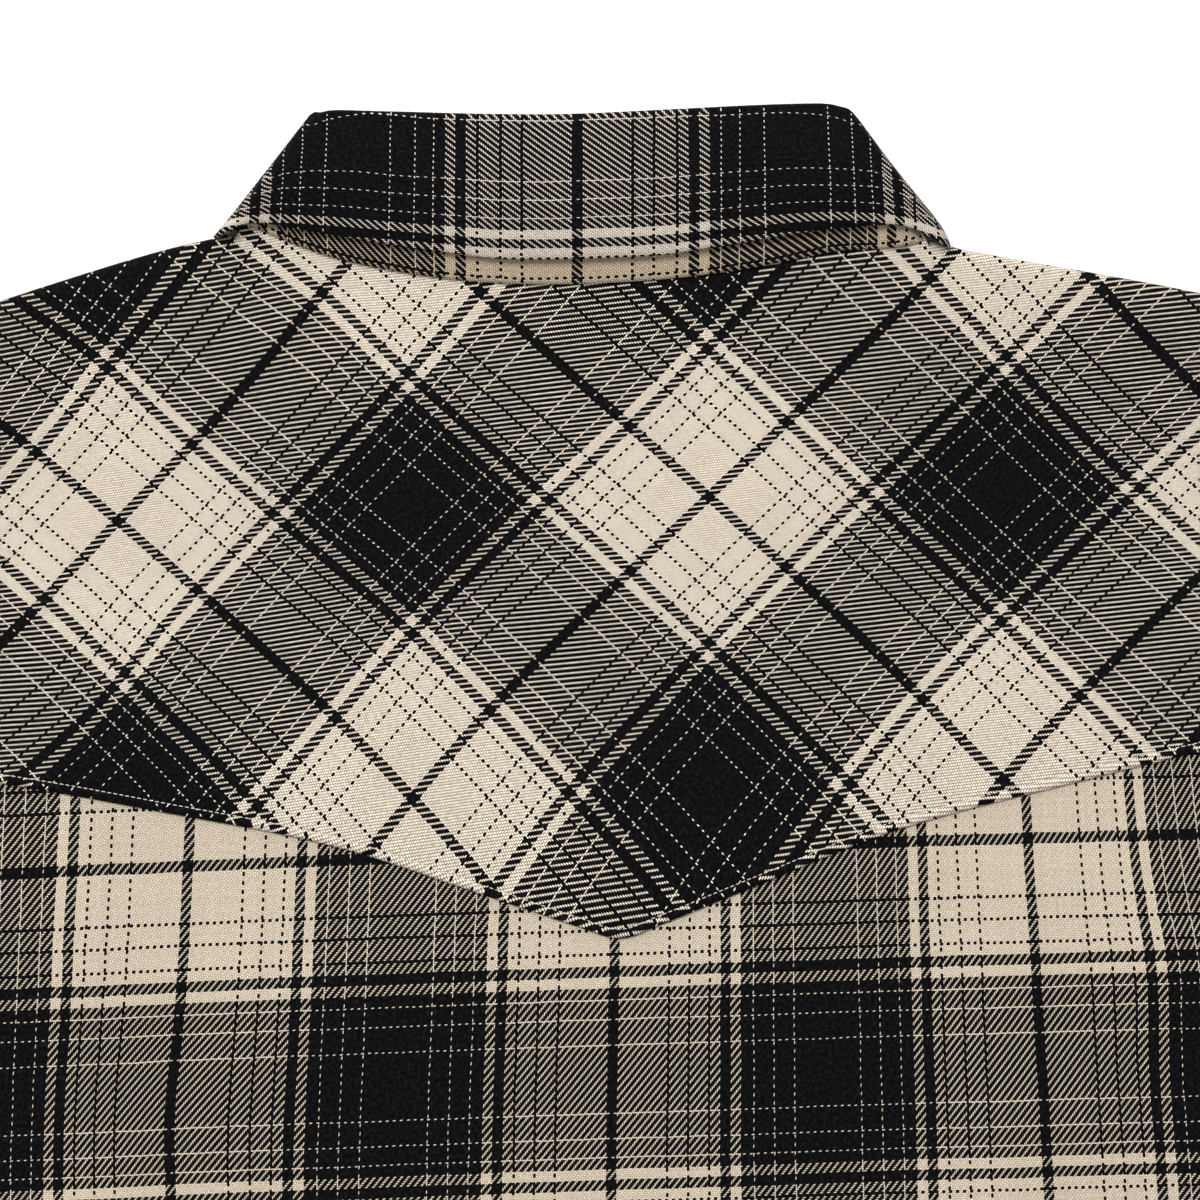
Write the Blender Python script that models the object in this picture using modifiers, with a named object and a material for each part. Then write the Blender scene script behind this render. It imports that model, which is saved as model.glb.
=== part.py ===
"""Western snap shirt, fastened and laid flat, face down, with its long sleeves out to the sides.

Sizes are in millimetres: x runs across the shirt, y up the back from the neck seam at centre
back, z up from the surface that the shirt lies on. place() turns them into metres.
"""
import math

import bmesh
import bpy
from mathutils import Vector

MM = 0.001
NECK_TO_MIDDLE = 342.02         # neck seam at centre back, above the middle of the laid shirt

# Walls and gaps
CLOTH = 1.2                     # one layer of shirting
BAND = 1.6                      # collar and cuff: two layers and an interlining
SEAM = 0.3                      # gap between pieces
REST = CLOTH / 2                # middle of a wall that rests on the surface
BAND_REST = BAND / 2
BACK_REST = 2.85                # middle of the back where it lies on the fronts

# Body, each outline on one side of the centre line
YOKE_EDGE = (                   # x, y of the pointed lower edge of the back yoke
    (0, -204.6), (12, -200.9), (42, -189.8), (88, -173.3), (145, -160.1), (184, -151.9), (236, -143.0))
YOKE_NECK = (                   # x, y of the yoke's neck edge, tucked under the collar stand
    (0, 4.0), (30, 4.5), (50, 7.0), (70, 10.3), (86, 13.6), (98, 15.2), (109, 9.6))
SHOULDER_FOLD = (               # x, y where the yoke turns over the shoulder
    (109, 12.6), (118, 12.2), (134, 8.9), (170, 0.2), (187, -4.2), (236, -17.0))
ARMHOLE = (                     # y, x from the underarm to the shoulder
    (-249, 285.0), (-222, 256.0), (-190, 237.0), (-150, 226.0), (-105, 223.0), (-60, 227.5), (-17, 235.0))
SIDE = ((-652, 276.0), (-420, 277.0), (-249, 285.0))    # y, x of the side seam
HEM = ((0, -740), (110, -738), (190, -722), (245, -690), (276, -652))       # x, y
YOKE_LAP = 12.0                 # the back runs this far up under the yoke
YOKE_RISE = 1.7                 # and the yoke's edge lies this much above it
YOKE_RETURN = 22.0              # the yoke runs this far down the front of the shoulder
SHOULDER_HEIGHT = 5.0           # middle of the yoke's top layer beside the shoulder fold
NECK_HEIGHT = 6.5               # and beside the collar
NECK_CORNER = 109.0             # x where the neck edge meets the shoulder fold
UNDERARM_Y = ARMHOLE[0][0]
SHOULDER_POINT = (235.4, -17.0)
UNDERARM_POINT = (286.0, -249.4)

# Front closing
PLACKET_HALF = 17.5
PLACKET_WALL = 1.4
PLACKET_HEIGHT = 2.5            # middle of the placket, over the snap caps
FRONT_RAISE = 3.5               # the fronts are this much higher where they lie on the placket
LEFT_EDGE = -9.6                # x of each front's free edge
RIGHT_EDGE = -9.0

# Collar. The stand and the fall are flattened loops round the neck.
SEAM_HALF = 107.0               # half width of the stand at the neck seam
FOLD_HALF = 81.4                # and at the fold
EDGE_HALF = 114.0               # half width of the fall at its lower edge
STAND_MIDDLE, STAND_RADIUS = 5.7, 2.75     # height of the loop's middle, and half its depth
EDGE_MIDDLE, EDGE_RADIUS = 6.75, 5.95
BACK_NECK_RISE = 15.0           # the neck seam rises this much at x = 98
SIDE_NECK = 18.0                # y of the neck seam where it turns to the front
FRONT_NECK_DROP = 65.0          # from there to the neck seam at centre front
NECK_HALF = SEAM_HALF + 1.6     # the fronts' neck edge, just outside the stand
NECK_DROP = FRONT_NECK_DROP + 0.9
FRONT_FOLD = -15.0              # y of the fold at centre front
SIDE_FOLD = 49.3                # y of the fold where it turns to the front
FOLD_TOP = ((0, 52.9), (30, 53.6), (55, 54.6), (72, 55.0), (85, 54.2))      # x, y
FALL_EDGE = (                   # x, y of the fall's lower edge across the back
    (0, 7.8), (25, 8.4), (38, 10.1), (59, 13.3), (81, 17.0), (98, 19.5), (104, 18.8), (109, 16.5))
FALL_SIDE = 13.4                # y of the fall's lower edge at the side
COLLAR_POINT = (48.0, -87.0)
FALL_FRONT = 3.0                # x of the fall's front edge at the fold
ROLL = 1.05                     # radius of the fold, to the middle of the wall
STAND_SHARE = 0.85              # the stand reaches this far from the seam to the fold
BACK_GAP_SHARE = 0.02           # and the fall starts this much further at the back
FRONT_GAP_SHARE = 0.07          # and this much further at the front
STAND_OVERLAP = 12.0            # the stand's ends pass the centre front by this much

# Sleeves, each from its armhole to its cuff, for the side where x is positive
SLEEVE_START_ANGLE = 22.0       # degrees below the x axis
SLEEVE_CHORD_ANGLE = 35.0
SLEEVE_END_ANGLE = 46.0
SLEEVE_CHORD = 571.0
SLEEVE_END_WIDTH = 122.0
UNDERARM_START_ANGLE = 14.0
TOP_HANDLE = 190.0
UNDERARM_HANDLE = 110.0
SLEEVE_HEIGHT = 5.4             # middle of the sleeve's upper layer
ARMHOLE_HEIGHT = 3.6            # and at its armhole

CUFF_LENGTH = 62.0
CUFF_WIDTH = 114.0
CUFF_HEIGHT = 5.0               # middle of the cuff's upper layer
CUFF_FLAP = (60.0, 82.0)        # the cuff's ends overlap between these, from its folded edge
CUFF_LIFT = BAND + SEAM
SLEEVE_PLACKET = (26.0, 130.0)  # width and length
SLEEVE_PLACKET_WALL = 1.0

# Snaps
SNAP_RADIUS = 5.75
SNAP_HEIGHT = 1.5
SNAP_STEPS = 20
FRONT_SNAPS = (-90, -175, -260, -345, -430, -515, -600)         # y
STAND_SNAP = -33.0
CUFF_SNAPS = (18.0, 44.0)       # from the cuff's upper seam
SLEEVE_SNAP = 62.0              # up the sleeve placket from the cuff

# How the shirt has shifted as it was laid: collar and shoulders a little to the left, left side up
LAY_SHIFT = -5.4
LAY_RISE = ((0, 0.0), (60, 0.8), (90, 2.2), (120, 5.0), (185, 3.3), (300, 0.0))     # x, rise
LAY_FROM = -150.0               # y where the shift begins; it is full at y = 0

# Soft folds: ends of the fold's line, half width, height
BACK_FOLDS = (
    ((-168, -150), (-150, -600), 17, 3.0),
    ((-86, -185), (-98, -470), 16, 2.0),
    ((34, -215), (26, -520), 18, 1.6),
    ((116, -160), (128, -640), 17, 3.0),
    ((205, -230), (178, -560), 20, 2.4),
)
SLEEVE_FOLDS = (
    ((292, -225), (372, -120), 15, 2.8),
    ((330, -262), (420, -178), 15, 2.2),
    ((455, -225), (515, -300), 17, 2.6),
    ((430, -315), (500, -262), 15, 2.2),
)

CREAM = (0.42, 0.37, 0.30, 1.0)
CHECK = (0.17, 0.15, 0.13, 1.0)
PEARL = (0.62, 0.60, 0.56, 1.0)


def smooth(share):
    """0 to 1 with level ends."""
    share = min(max(share, 0.0), 1.0)
    return share * share * (3 - 2 * share)


def mix(a, b, share):
    return a + (b - a) * share


def mix_points(a, b, share):
    return tuple(mix(p, q, share) for p, q in zip(a, b))


def curve(rows, at):
    """Value at a place along rows of (place, value), on a smooth line that starts level."""
    if at <= rows[0][0]:
        return rows[0][1]
    if at >= rows[-1][0]:
        return rows[-1][1]
    k = max(n for n, row in enumerate(rows) if row[0] <= at)

    def slope(n):
        if n == 0:
            return 0.0
        last = min(n + 1, len(rows) - 1)
        return (rows[last][1] - rows[n - 1][1]) / (rows[last][0] - rows[n - 1][0])

    (x0, y0), (x1, y1) = rows[k], rows[k + 1]
    step = x1 - x0
    t = (at - x0) / step
    return (y0 * (1 + 2 * t) * (1 - t) ** 2 + y1 * t * t * (3 - 2 * t)
            + step * (slope(k) * t * (1 - t) ** 2 - slope(k + 1) * t * t * (1 - t)))


def place(x, y, z):
    """A point of the shirt in metres, moved as the cloth was laid."""
    laid = smooth((y - LAY_FROM) / -LAY_FROM)
    rise = math.copysign(curve(LAY_RISE, abs(x)), -x)
    return ((x + LAY_SHIFT * laid) * MM, (y + rise * laid + NECK_TO_MIDDLE) * MM, z * MM)


def fold_height(folds, x, y):
    """Height that the soft folds add at a place."""
    height = 0.0
    for (x0, y0), (x1, y1), half, top in folds:
        along = ((x - x0) * (x1 - x0) + (y - y0) * (y1 - y0)) / ((x1 - x0) ** 2 + (y1 - y0) ** 2)
        near = min(max(along, 0.0), 1.0)
        away = math.hypot(x - mix(x0, x1, near), y - mix(y0, y1, near))
        fade = smooth(along / 0.15) * smooth((1 - along) / 0.35)
        height += top * math.exp(-(away / half) ** 2) * fade
    return height


# Heights of the layers

def leaf_edge(x):
    """y of the collar leaf's outline on the front at a distance x from the centre."""
    point_x, point_y = COLLAR_POINT
    if x > point_x:
        return mix(point_y, FALL_SIDE, (x - point_x) / (EDGE_HALF - EDGE_RADIUS - point_x))
    return mix(FRONT_FOLD, point_y, (x - FALL_FRONT) / (point_x - FALL_FRONT))


def lift(x, y, margin, spread):
    """How far the cloth above a collar leaf is lifted, falling off past a margin round the leaf."""
    inside = y - leaf_edge(abs(x)) + margin
    return (BAND + SEAM) * smooth(1 + inside / spread)


def raised(x, full, zero):
    """How far the cloth above the placket is raised, falling off between two distances."""
    return FRONT_RAISE * (1 - smooth((abs(x) - full) / (zero - full)))


def leaf_lift(x, y):
    return lift(x, y, 23.0, 24.0)


def front_height(x, y):
    """Middle of a front's wall."""
    return REST + max(leaf_lift(x, y), raised(x, 25.5, 46.0))


def back_height(x, y):
    """Middle of the back's wall, over the fronts."""
    under = (lift(x, y, 36.0, 60.0) ** 3 + raised(x, 34.0, 130.0) ** 3) ** (1 / 3)
    return BACK_REST + under + fold_height(BACK_FOLDS, x, y)


def outline(y):
    """x of the body's edge at a height y."""
    return curve(ARMHOLE, y) if y > ARMHOLE[0][0] else curve(SIDE, y)


def shares_to_hem(top, above, below):
    """Shares of the way down a body edge that starts at y = top, with one at the underarm."""
    underarm = (top - UNDERARM_Y) / (top - HEM[-1][1])
    shares = [underarm * n / above for n in range(above)]
    return shares + [mix(underarm, 1.0, n / below) for n in range(below + 1)]


# Making pieces

def make_material(name, color, roughness, metallic=0.0):
    material = bpy.data.materials.new(name)
    material.use_nodes = True
    shader = material.node_tree.nodes["Principled BSDF"]
    shader.inputs["Base Color"].default_value = color
    shader.inputs["Roughness"].default_value = roughness
    shader.inputs["Metallic"].default_value = metallic
    material.diffuse_color = color
    return material


def add_grid(bm, columns, rows, shape):
    """A grid of columns by rows cells, with each corner moved to shape(i, j)."""
    made = bmesh.ops.create_grid(bm, x_segments=columns, y_segments=rows, size=0.5)
    for vertex in made["verts"]:
        i = round((vertex.co.x + 0.5) * columns)
        j = round((vertex.co.y + 0.5) * rows)
        vertex.co = place(*shape(i, j))


def make_cloth(name, grids, wall, color):
    """One cloth wall centred on its grids, which are joined where they meet."""
    bm = bmesh.new()
    for columns, rows, shape in grids:
        add_grid(bm, columns, rows, shape)
    bmesh.ops.remove_doubles(bm, verts=bm.verts, dist=1e-6)
    mesh = bpy.data.meshes.new(name)
    bm.to_mesh(mesh)
    bm.free()
    mesh.shade_smooth()
    mesh.materials.append(make_material(name, color, 0.85))
    piece = bpy.data.objects.new(name, mesh)
    shirt.objects.link(piece)
    solidify = piece.modifiers.new("wall", "SOLIDIFY")
    solidify.thickness = wall * MM
    solidify.offset = 0.0
    solidify.use_even_offset = True
    solidify.use_quality_normals = True
    return piece


# Back and yoke

YOKE_COLUMNS = (0, 14, 30, 48, 66, 84, 98, NECK_CORNER, 124, 142, 164, 188, 212, 235)
CORNER_COLUMN = YOKE_COLUMNS.index(NECK_CORNER)
YOKE_WIDTH = YOKE_COLUMNS[-1]
MIRRORED_COLUMNS = tuple(-x for x in YOKE_COLUMNS[:0:-1]) + YOKE_COLUMNS
YOKE_ROWS = (0.0, 0.06, 0.13, 0.28, 0.46, 0.64, 0.8, 0.91, 1.0)


def shoulder_radius(x):
    """Half the depth of the shoulder fold, to the middle of its wall."""
    y = curve(SHOULDER_FOLD, abs(x))
    return (top_height(x) - REST - leaf_lift(x, y)) / 2


def top_height(x):
    """Middle of the yoke's top layer along its neck edge and shoulder fold."""
    return mix(NECK_HEIGHT, SHOULDER_HEIGHT, smooth((abs(x) - 96) / 50))


def yoke_top(x):
    """y where the yoke's top layer ends, at the neck or where the shoulder fold begins."""
    if abs(x) < NECK_CORNER:
        return curve(YOKE_NECK, abs(x))
    return curve(SHOULDER_FOLD, abs(x)) - REST - shoulder_radius(x)


def yoke_point(column, row):
    at = MIRRORED_COLUMNS[column]
    share = YOKE_ROWS[row]
    side_y = mix(YOKE_EDGE[-1][1], yoke_top(YOKE_WIDTH), share)
    x = at * outline(side_y) / YOKE_WIDTH
    low = curve(YOKE_EDGE, abs(at) * outline(YOKE_EDGE[-1][1]) / YOKE_WIDTH)
    high = yoke_top(at)
    y = mix(low, high, share)
    lap = YOKE_RISE * (1 - smooth((y - low - YOKE_LAP - 2) / 26))
    flat = back_height(x, y) + lap
    return (x, y, mix(flat, top_height(at), math.exp(-((high - y) / 34) ** 2)))


def front_neck_x(y):
    """x of the fronts' neck edge at a height y."""
    return NECK_HALF * math.sqrt(1 - ((SIDE_NECK - y) / NECK_DROP) ** 2)


def shoulder_seam(x):
    """y of the seam where the yoke's return meets the front."""
    return curve(SHOULDER_FOLD, abs(x)) - REST - shoulder_radius(x) - YOKE_RETURN


def return_point(side, column, row, arcs=4):
    """The yoke's fold over the shoulder and its return on the front."""
    at = YOKE_COLUMNS[CORNER_COLUMN + column]
    radius = shoulder_radius(at)
    middle = top_height(at) - radius
    start = yoke_top(at)
    x = at * outline(yoke_top(YOKE_WIDTH)) / YOKE_WIDTH
    if row <= arcs:
        turn = math.pi * row / arcs
        return (side * x, start + radius * math.sin(turn), middle + radius * math.cos(turn))
    down = YOKE_RETURN * (row - arcs) / 2
    y = start - down
    from_neck = (at - NECK_CORNER) / (YOKE_WIDTH - NECK_CORNER)
    x = mix(front_neck_x(yoke_top(NECK_CORNER) - down), outline(y), from_neck)
    return (side * x, y, front_height(x, y))


BACK_SHARES = shares_to_hem(YOKE_EDGE[-1][1] + YOKE_LAP, 5, 11)


def back_point(column, row):
    at = MIRRORED_COLUMNS[column]
    share = BACK_SHARES[row]
    top_width = outline(YOKE_EDGE[-1][1])
    low = curve(HEM, abs(at) * HEM[-1][0] / YOKE_WIDTH)
    high = curve(YOKE_EDGE, abs(at) * top_width / YOKE_WIDTH) + YOKE_LAP
    side_y = mix(YOKE_EDGE[-1][1] + YOKE_LAP, HEM[-1][1], share)
    x = at * outline(side_y) / YOKE_WIDTH
    y = mix(high, low, share)
    return (x, y, back_height(x, y))


# Fronts and placket

NECK_COLUMNS = (20.0, 38.0, 55.0, 70.0, 84.0)      # x along the neck edge, past the free edge
SHOULDER_COLUMNS = 7
CORNER = len(NECK_COLUMNS) + 1
FRONT_COLUMNS = CORNER + SHOULDER_COLUMNS
FRONT_SHARES = shares_to_hem(shoulder_seam(YOKE_WIDTH) - SEAM, 7, 9)


def front_top(side, edge, column):
    """The front's upper outline: along the neck from its free edge, then along the shoulder."""
    corner_y = shoulder_seam(NECK_CORNER) - SEAM
    corner_x = front_neck_x(corner_y)
    if column <= CORNER:
        x = (side * edge, *NECK_COLUMNS, corner_x)[column]
        return (x, SIDE_NECK - NECK_DROP * math.sqrt(1 - (x / NECK_HALF) ** 2))
    share = (column - CORNER) / SHOULDER_COLUMNS
    at = mix(NECK_CORNER, YOKE_WIDTH, share)
    y = shoulder_seam(at) - SEAM
    return (mix(corner_x, outline(y), share), y)


def front_point(side, edge, column, row):
    """side is 1 where x is positive, and the column runs from the free edge to the side seam."""
    top_x, high = front_top(side, edge, column)
    end_x, end_y = front_top(side, edge, FRONT_COLUMNS)
    share = FRONT_SHARES[row]
    start = side * edge
    across = (top_x - start) / (end_x - start)
    low = curve(HEM, abs(mix(start, HEM[-1][0], across)))
    x = mix(start, outline(mix(end_y, HEM[-1][1], share)), across)
    y = mix(high, low, share)
    return (side * x, y, front_height(x, y))


def placket_point(column, row):
    x = mix(-PLACKET_HALF, PLACKET_HALF, column / 4)
    return (x, mix(curve(HEM, abs(x)), SIDE_NECK - NECK_DROP, row / 12), PLACKET_HEIGHT)


# Collar

FRONT_STEPS, ARC_STEPS, BACK_STEPS = 6, 5, 9


def loop_columns():
    """(side, zone, share) of each column, from the left end round the back to the right end."""
    half = [("front", n / FRONT_STEPS) for n in range(FRONT_STEPS)]
    half += [("arc", n / ARC_STEPS) for n in range(ARC_STEPS)]
    half += [("back", 1 - n / BACK_STEPS) for n in range(BACK_STEPS + 1)]
    left = [(-1, zone, share) for zone, share in half]
    return left + [(1, zone, share) for zone, share in reversed(half[:-1])]


COLLAR_COLUMNS = loop_columns()


def loop_point(column, half, radius, middle, end, back_y, side_y, front_y):
    """A column's point on a flattened loop."""
    side, zone, share = column
    flat = half - radius
    if zone == "back":
        return (side * flat * share, back_y(flat * share), middle + radius)
    if zone == "front":
        x = mix(end, flat, share)
        return (side * x, front_y(x), middle - radius)
    turn = math.pi * share
    start = front_y(flat) if share < 0.5 else back_y(flat)
    return (side * (flat + radius * math.sin(turn)), mix(start, side_y, math.sin(turn)),
            middle - radius * math.cos(turn))


def neck_back(x):
    return BACK_NECK_RISE * (x / 98) ** 2.15


def neck_front(x):
    return SIDE_NECK - FRONT_NECK_DROP * math.sqrt(1 - (x / SEAM_HALF) ** 2)


def fold_back(x):
    return curve(FOLD_TOP, x) - ROLL - BAND_REST


def fold_front(x):
    return SIDE_FOLD - (SIDE_FOLD - FRONT_FOLD) * math.sqrt(1 - (x / FOLD_HALF) ** 2)


def stand_surface(column, share, end):
    """A point of the stand's loop, a share of the way from the neck seam to the fold."""
    seam = loop_point(column, SEAM_HALF, STAND_RADIUS, STAND_MIDDLE, end, neck_back, SIDE_NECK, neck_front)
    fold = loop_point(column, FOLD_HALF, STAND_RADIUS, STAND_MIDDLE, end, fold_back, SIDE_FOLD, fold_front)
    return Vector(mix_points(seam, fold, share))


def roll_directions(column, end):
    """At the fold, the directions up out of the stand and out from it, each one long."""
    side, zone, share = column
    near = 0.04
    before, after = max(share - near, 0.0), min(share + near, 1.0)
    up = stand_surface(column, 1.0, end) - stand_surface(column, 0.0, end)
    along = stand_surface((side, zone, after), 1.0, end) - stand_surface((side, zone, before), 1.0, end)
    out = along.cross(up).normalized() * (side if zone == "back" else -side)
    return up.normalized(), out


def stand_point(column, row, rows=4):
    column = COLLAR_COLUMNS[column]
    x, y, z = stand_surface(column, STAND_SHARE * row / rows, -STAND_OVERLAP)
    if column[:2] == (1, "front"):
        z += (BAND + SEAM) * (1 - smooth((x - STAND_OVERLAP - 1) / 9))
    return (x, y, z)


def fall_point(column, row):
    """Rows 0 and 1 lie inside above the stand, 2 to 4 turn over the fold, the rest run down outside."""
    column = COLLAR_COLUMNS[column]
    if row < 2:
        gap = BACK_GAP_SHARE if column[1] == "back" else FRONT_GAP_SHARE
        return stand_surface(column, (STAND_SHARE + gap, 0.95)[row], FALL_FRONT)
    inside = stand_surface(column, 1.0, FALL_FRONT)
    up, out = roll_directions(column, FALL_FRONT)
    if row < 5:
        turn = math.pi * (row - 2) / 2
        return inside + out * ROLL * (1 - math.cos(turn)) + up * ROLL * math.sin(turn)
    edge = loop_point(column, EDGE_HALF, EDGE_RADIUS, EDGE_MIDDLE, COLLAR_POINT[0],
                      lambda x: curve(FALL_EDGE, x), FALL_SIDE, leaf_edge)
    share = (row - 4) / 4
    x, y, z = mix_points(inside + out * 2 * ROLL, edge, share)
    return (x, y, z + leaf_bow(column) * math.sin(math.pi * share))


def leaf_bow(column):
    """How far the fall bows away from the stand, halfway down."""
    side, zone, share = column
    if zone == "arc":
        turn = math.pi * share
        return -0.7 * math.sin(2 * turn) if share < 0.5 else 0.4 * math.sin(turn) - 1.4 * math.cos(turn)
    return 1.4 if zone == "back" else 0.0


# Sleeves and cuffs

def heading(angle):
    """Unit direction an angle below the x axis, in degrees."""
    return (math.cos(math.radians(angle)), -math.sin(math.radians(angle)))


def step(point, direction, length):
    return (point[0] + direction[0] * length, point[1] + direction[1] * length)


ALONG = heading(SLEEVE_END_ANGLE)           # down the arm at the cuff
ACROSS = (ALONG[1], -ALONG[0])              # from the folded edge to the underarm seam
SLEEVE_END = step(SHOULDER_POINT, heading(SLEEVE_CHORD_ANGLE), SLEEVE_CHORD)
UNDERARM_END = step(SLEEVE_END, ACROSS, SLEEVE_END_WIDTH)
CUFF_START = step(step(SLEEVE_END, ACROSS, (SLEEVE_END_WIDTH - CUFF_WIDTH) / 2), ALONG, SEAM + 0.1)


def bezier(start, start_angle, end, end_angle, handle, share):
    a = step(start, heading(start_angle), handle)
    b = step(end, heading(end_angle), -handle)
    rest = 1 - share
    weights = (rest ** 3, 3 * rest * rest * share, 3 * rest * share * share, share ** 3)
    return tuple(sum(w * p[n] for w, p in zip(weights, (start, a, b, end))) for n in (0, 1))


def body_edges():
    """The straight runs between the points of each body piece's edge, from shoulder to hem."""
    last = len(MIRRORED_COLUMNS) - 1
    yoke = [yoke_point(last, row)[:2] for row in range(len(YOKE_ROWS) - 1, -1, -1)]
    back = [back_point(last, row)[:2] for row in range(len(BACK_SHARES))]
    front = [front_point(1, RIGHT_EDGE, FRONT_COLUMNS, row)[:2] for row in range(len(FRONT_SHARES))]
    return [run for line in (yoke, back, front) for run in zip(line, line[1:])]


BODY_EDGES = body_edges()


def body_edge(y):
    """x of the outermost body edge at a height y, between the edges' own points."""
    reach = [mix(a[0], b[0], (y - a[1]) / (b[1] - a[1])) for a, b in BODY_EDGES if b[1] <= y <= a[1]]
    return max(reach, default=SHOULDER_POINT[0])


FLAT_STEPS, TURN_STEPS, SLEEVE_ROWS = 9, 4, 15
RING = 2 * (FLAT_STEPS + TURN_STEPS)


def sleeve_point(side, column, row):
    """Columns go round the sleeve: over its top, round the underarm, back below, round the fold."""
    share = (row / SLEEVE_ROWS) ** 1.2
    top = bezier(SHOULDER_POINT, SLEEVE_START_ANGLE, SLEEVE_END, SLEEVE_END_ANGLE, TOP_HANDLE, share)
    low = bezier(UNDERARM_POINT, UNDERARM_START_ANGLE, UNDERARM_END, SLEEVE_END_ANGLE,
                 UNDERARM_HANDLE, share)
    width = math.dist(top, low)
    height = mix(ARMHOLE_HEIGHT, SLEEVE_HEIGHT, smooth(share / 0.12))
    radius = (height - REST) / 2
    inset = (radius + REST) / width
    zone, n = divmod(column % RING, FLAT_STEPS + TURN_STEPS)
    lower = zone == 1
    if n <= FLAT_STEPS:
        across = mix(inset, 1 - inset, n / FLAT_STEPS)
        z = height
        beyond = 0.0
    else:
        turn = math.pi * (n - FLAT_STEPS) / TURN_STEPS
        across = 1 - inset
        beyond = radius * math.sin(turn) / width
        z = REST + radius * (1 + math.cos(turn))
    if lower:
        across, z = 1 - across, 2 * REST + 2 * radius - z
        beyond = -beyond
    start_x, start_y = mix_points(SHOULDER_POINT, UNDERARM_POINT, across + beyond)
    bulge = body_edge(start_y) + SEAM + 0.1 + 0.6 * across - start_x
    x, y = mix_points(top, low, across + beyond)
    x += bulge * (1 - share) ** 2.5
    if z == height:
        z += fold_height(SLEEVE_FOLDS, x, y) * (1 - (2 * across - 1) ** 8)
    return (side * x, y, z)


def cuff_path():
    """(distance from the folded edge, height) along the cuff's wall, from its inner end to its outer end."""
    radius = (CUFF_HEIGHT - BAND_REST) / 2
    inset = radius + BAND_REST
    middle = BAND_REST + radius
    path = [(mix(CUFF_FLAP[0], CUFF_WIDTH - inset, n / 5), CUFF_HEIGHT) for n in range(5)]
    for n in range(6):
        turn = math.pi * n / 5
        path.append((CUFF_WIDTH - inset + radius * math.sin(turn), middle + radius * math.cos(turn)))
    path += [(mix(CUFF_WIDTH - inset, inset, n / 7), BAND_REST) for n in range(1, 7)]
    for n in range(6):
        turn = math.pi * n / 5
        path.append((inset - radius * math.sin(turn), middle - radius * math.cos(turn)))
    lead = CUFF_FLAP[0] - 14
    path += [(mix(inset, lead, n / 3), CUFF_HEIGHT) for n in range(1, 4)]
    path += [(lead + 4, CUFF_HEIGHT + 0.4 * CUFF_LIFT), (lead + 9, CUFF_HEIGHT + CUFF_LIFT)]
    path += [(mix(lead + 9, CUFF_FLAP[1], n / 3), CUFF_HEIGHT + CUFF_LIFT) for n in range(1, 4)]
    return path


CUFF_PATH = cuff_path()


def cuff_point(side, column, row):
    across, z = CUFF_PATH[column]
    x, y = step(step(CUFF_START, ACROSS, across), ALONG, CUFF_LENGTH * row / 4)
    return (side * x, y, z)


def sleeve_placket_point(side, column, row):
    """A strip up the sleeve from the cuff's overlap, with a pointed end."""
    width, length = SLEEVE_PLACKET
    across = (column / 4 - 0.5) * width
    up = (length - 0.5 * abs(across)) * row / 6
    middle = sum(CUFF_FLAP) / 2
    x, y = step(step(CUFF_START, ACROSS, middle + across), ALONG, -SEAM - 0.6 - up)
    return (side * x, y, SLEEVE_HEIGHT + CLOTH / 2 + SEAM + SLEEVE_PLACKET_WALL / 2)


# Snaps

def make_snap(name, x, y, z, faces_down):
    """A turned snap cap with its flat back at height z."""
    rim = (
        (0.0, SNAP_HEIGHT), (SNAP_RADIUS - 1.5, SNAP_HEIGHT - 0.05), (SNAP_RADIUS - 0.9, SNAP_HEIGHT - 0.3),
        (SNAP_RADIUS - 0.2, SNAP_HEIGHT - 0.5), (SNAP_RADIUS, 0.45), (SNAP_RADIUS - 0.3, 0.0), (0.0, 0.0))
    mesh = bpy.data.meshes.new(name)
    mesh.from_pydata([(r * MM, 0.0, h * MM) for r, h in rim], [(n, n + 1) for n in range(len(rim) - 1)], [])
    mesh.materials.append(make_material(name, PEARL, 0.3))
    cap = bpy.data.objects.new(name, mesh)
    shirt.objects.link(cap)
    screw = cap.modifiers.new("turn", "SCREW")
    screw.axis = "Z"
    screw.steps = SNAP_STEPS
    screw.render_steps = SNAP_STEPS
    screw.use_merge_vertices = True
    screw.merge_threshold = 0.00001
    cap.location = place(x, y, z)
    cap.rotation_euler = (math.pi if faces_down else 0.0, 0.0, 0.0)
    return cap


for old in list(bpy.data.objects):
    bpy.data.objects.remove(old)

shirt = bpy.data.collections.new("western_snap_shirt")
bpy.context.scene.collection.children.link(shirt)

body_columns = len(MIRRORED_COLUMNS) - 1
return_columns = len(YOKE_COLUMNS) - 1 - CORNER_COLUMN

make_cloth("back", [(body_columns, len(BACK_SHARES) - 1, back_point)], CLOTH, CHECK)
make_cloth("back_yoke", [
    (body_columns, len(YOKE_ROWS) - 1, yoke_point),
    (return_columns, 6, lambda i, j: return_point(1, i, j)),
    (return_columns, 6, lambda i, j: return_point(-1, return_columns - i, j)),
], CLOTH, CREAM)

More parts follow.
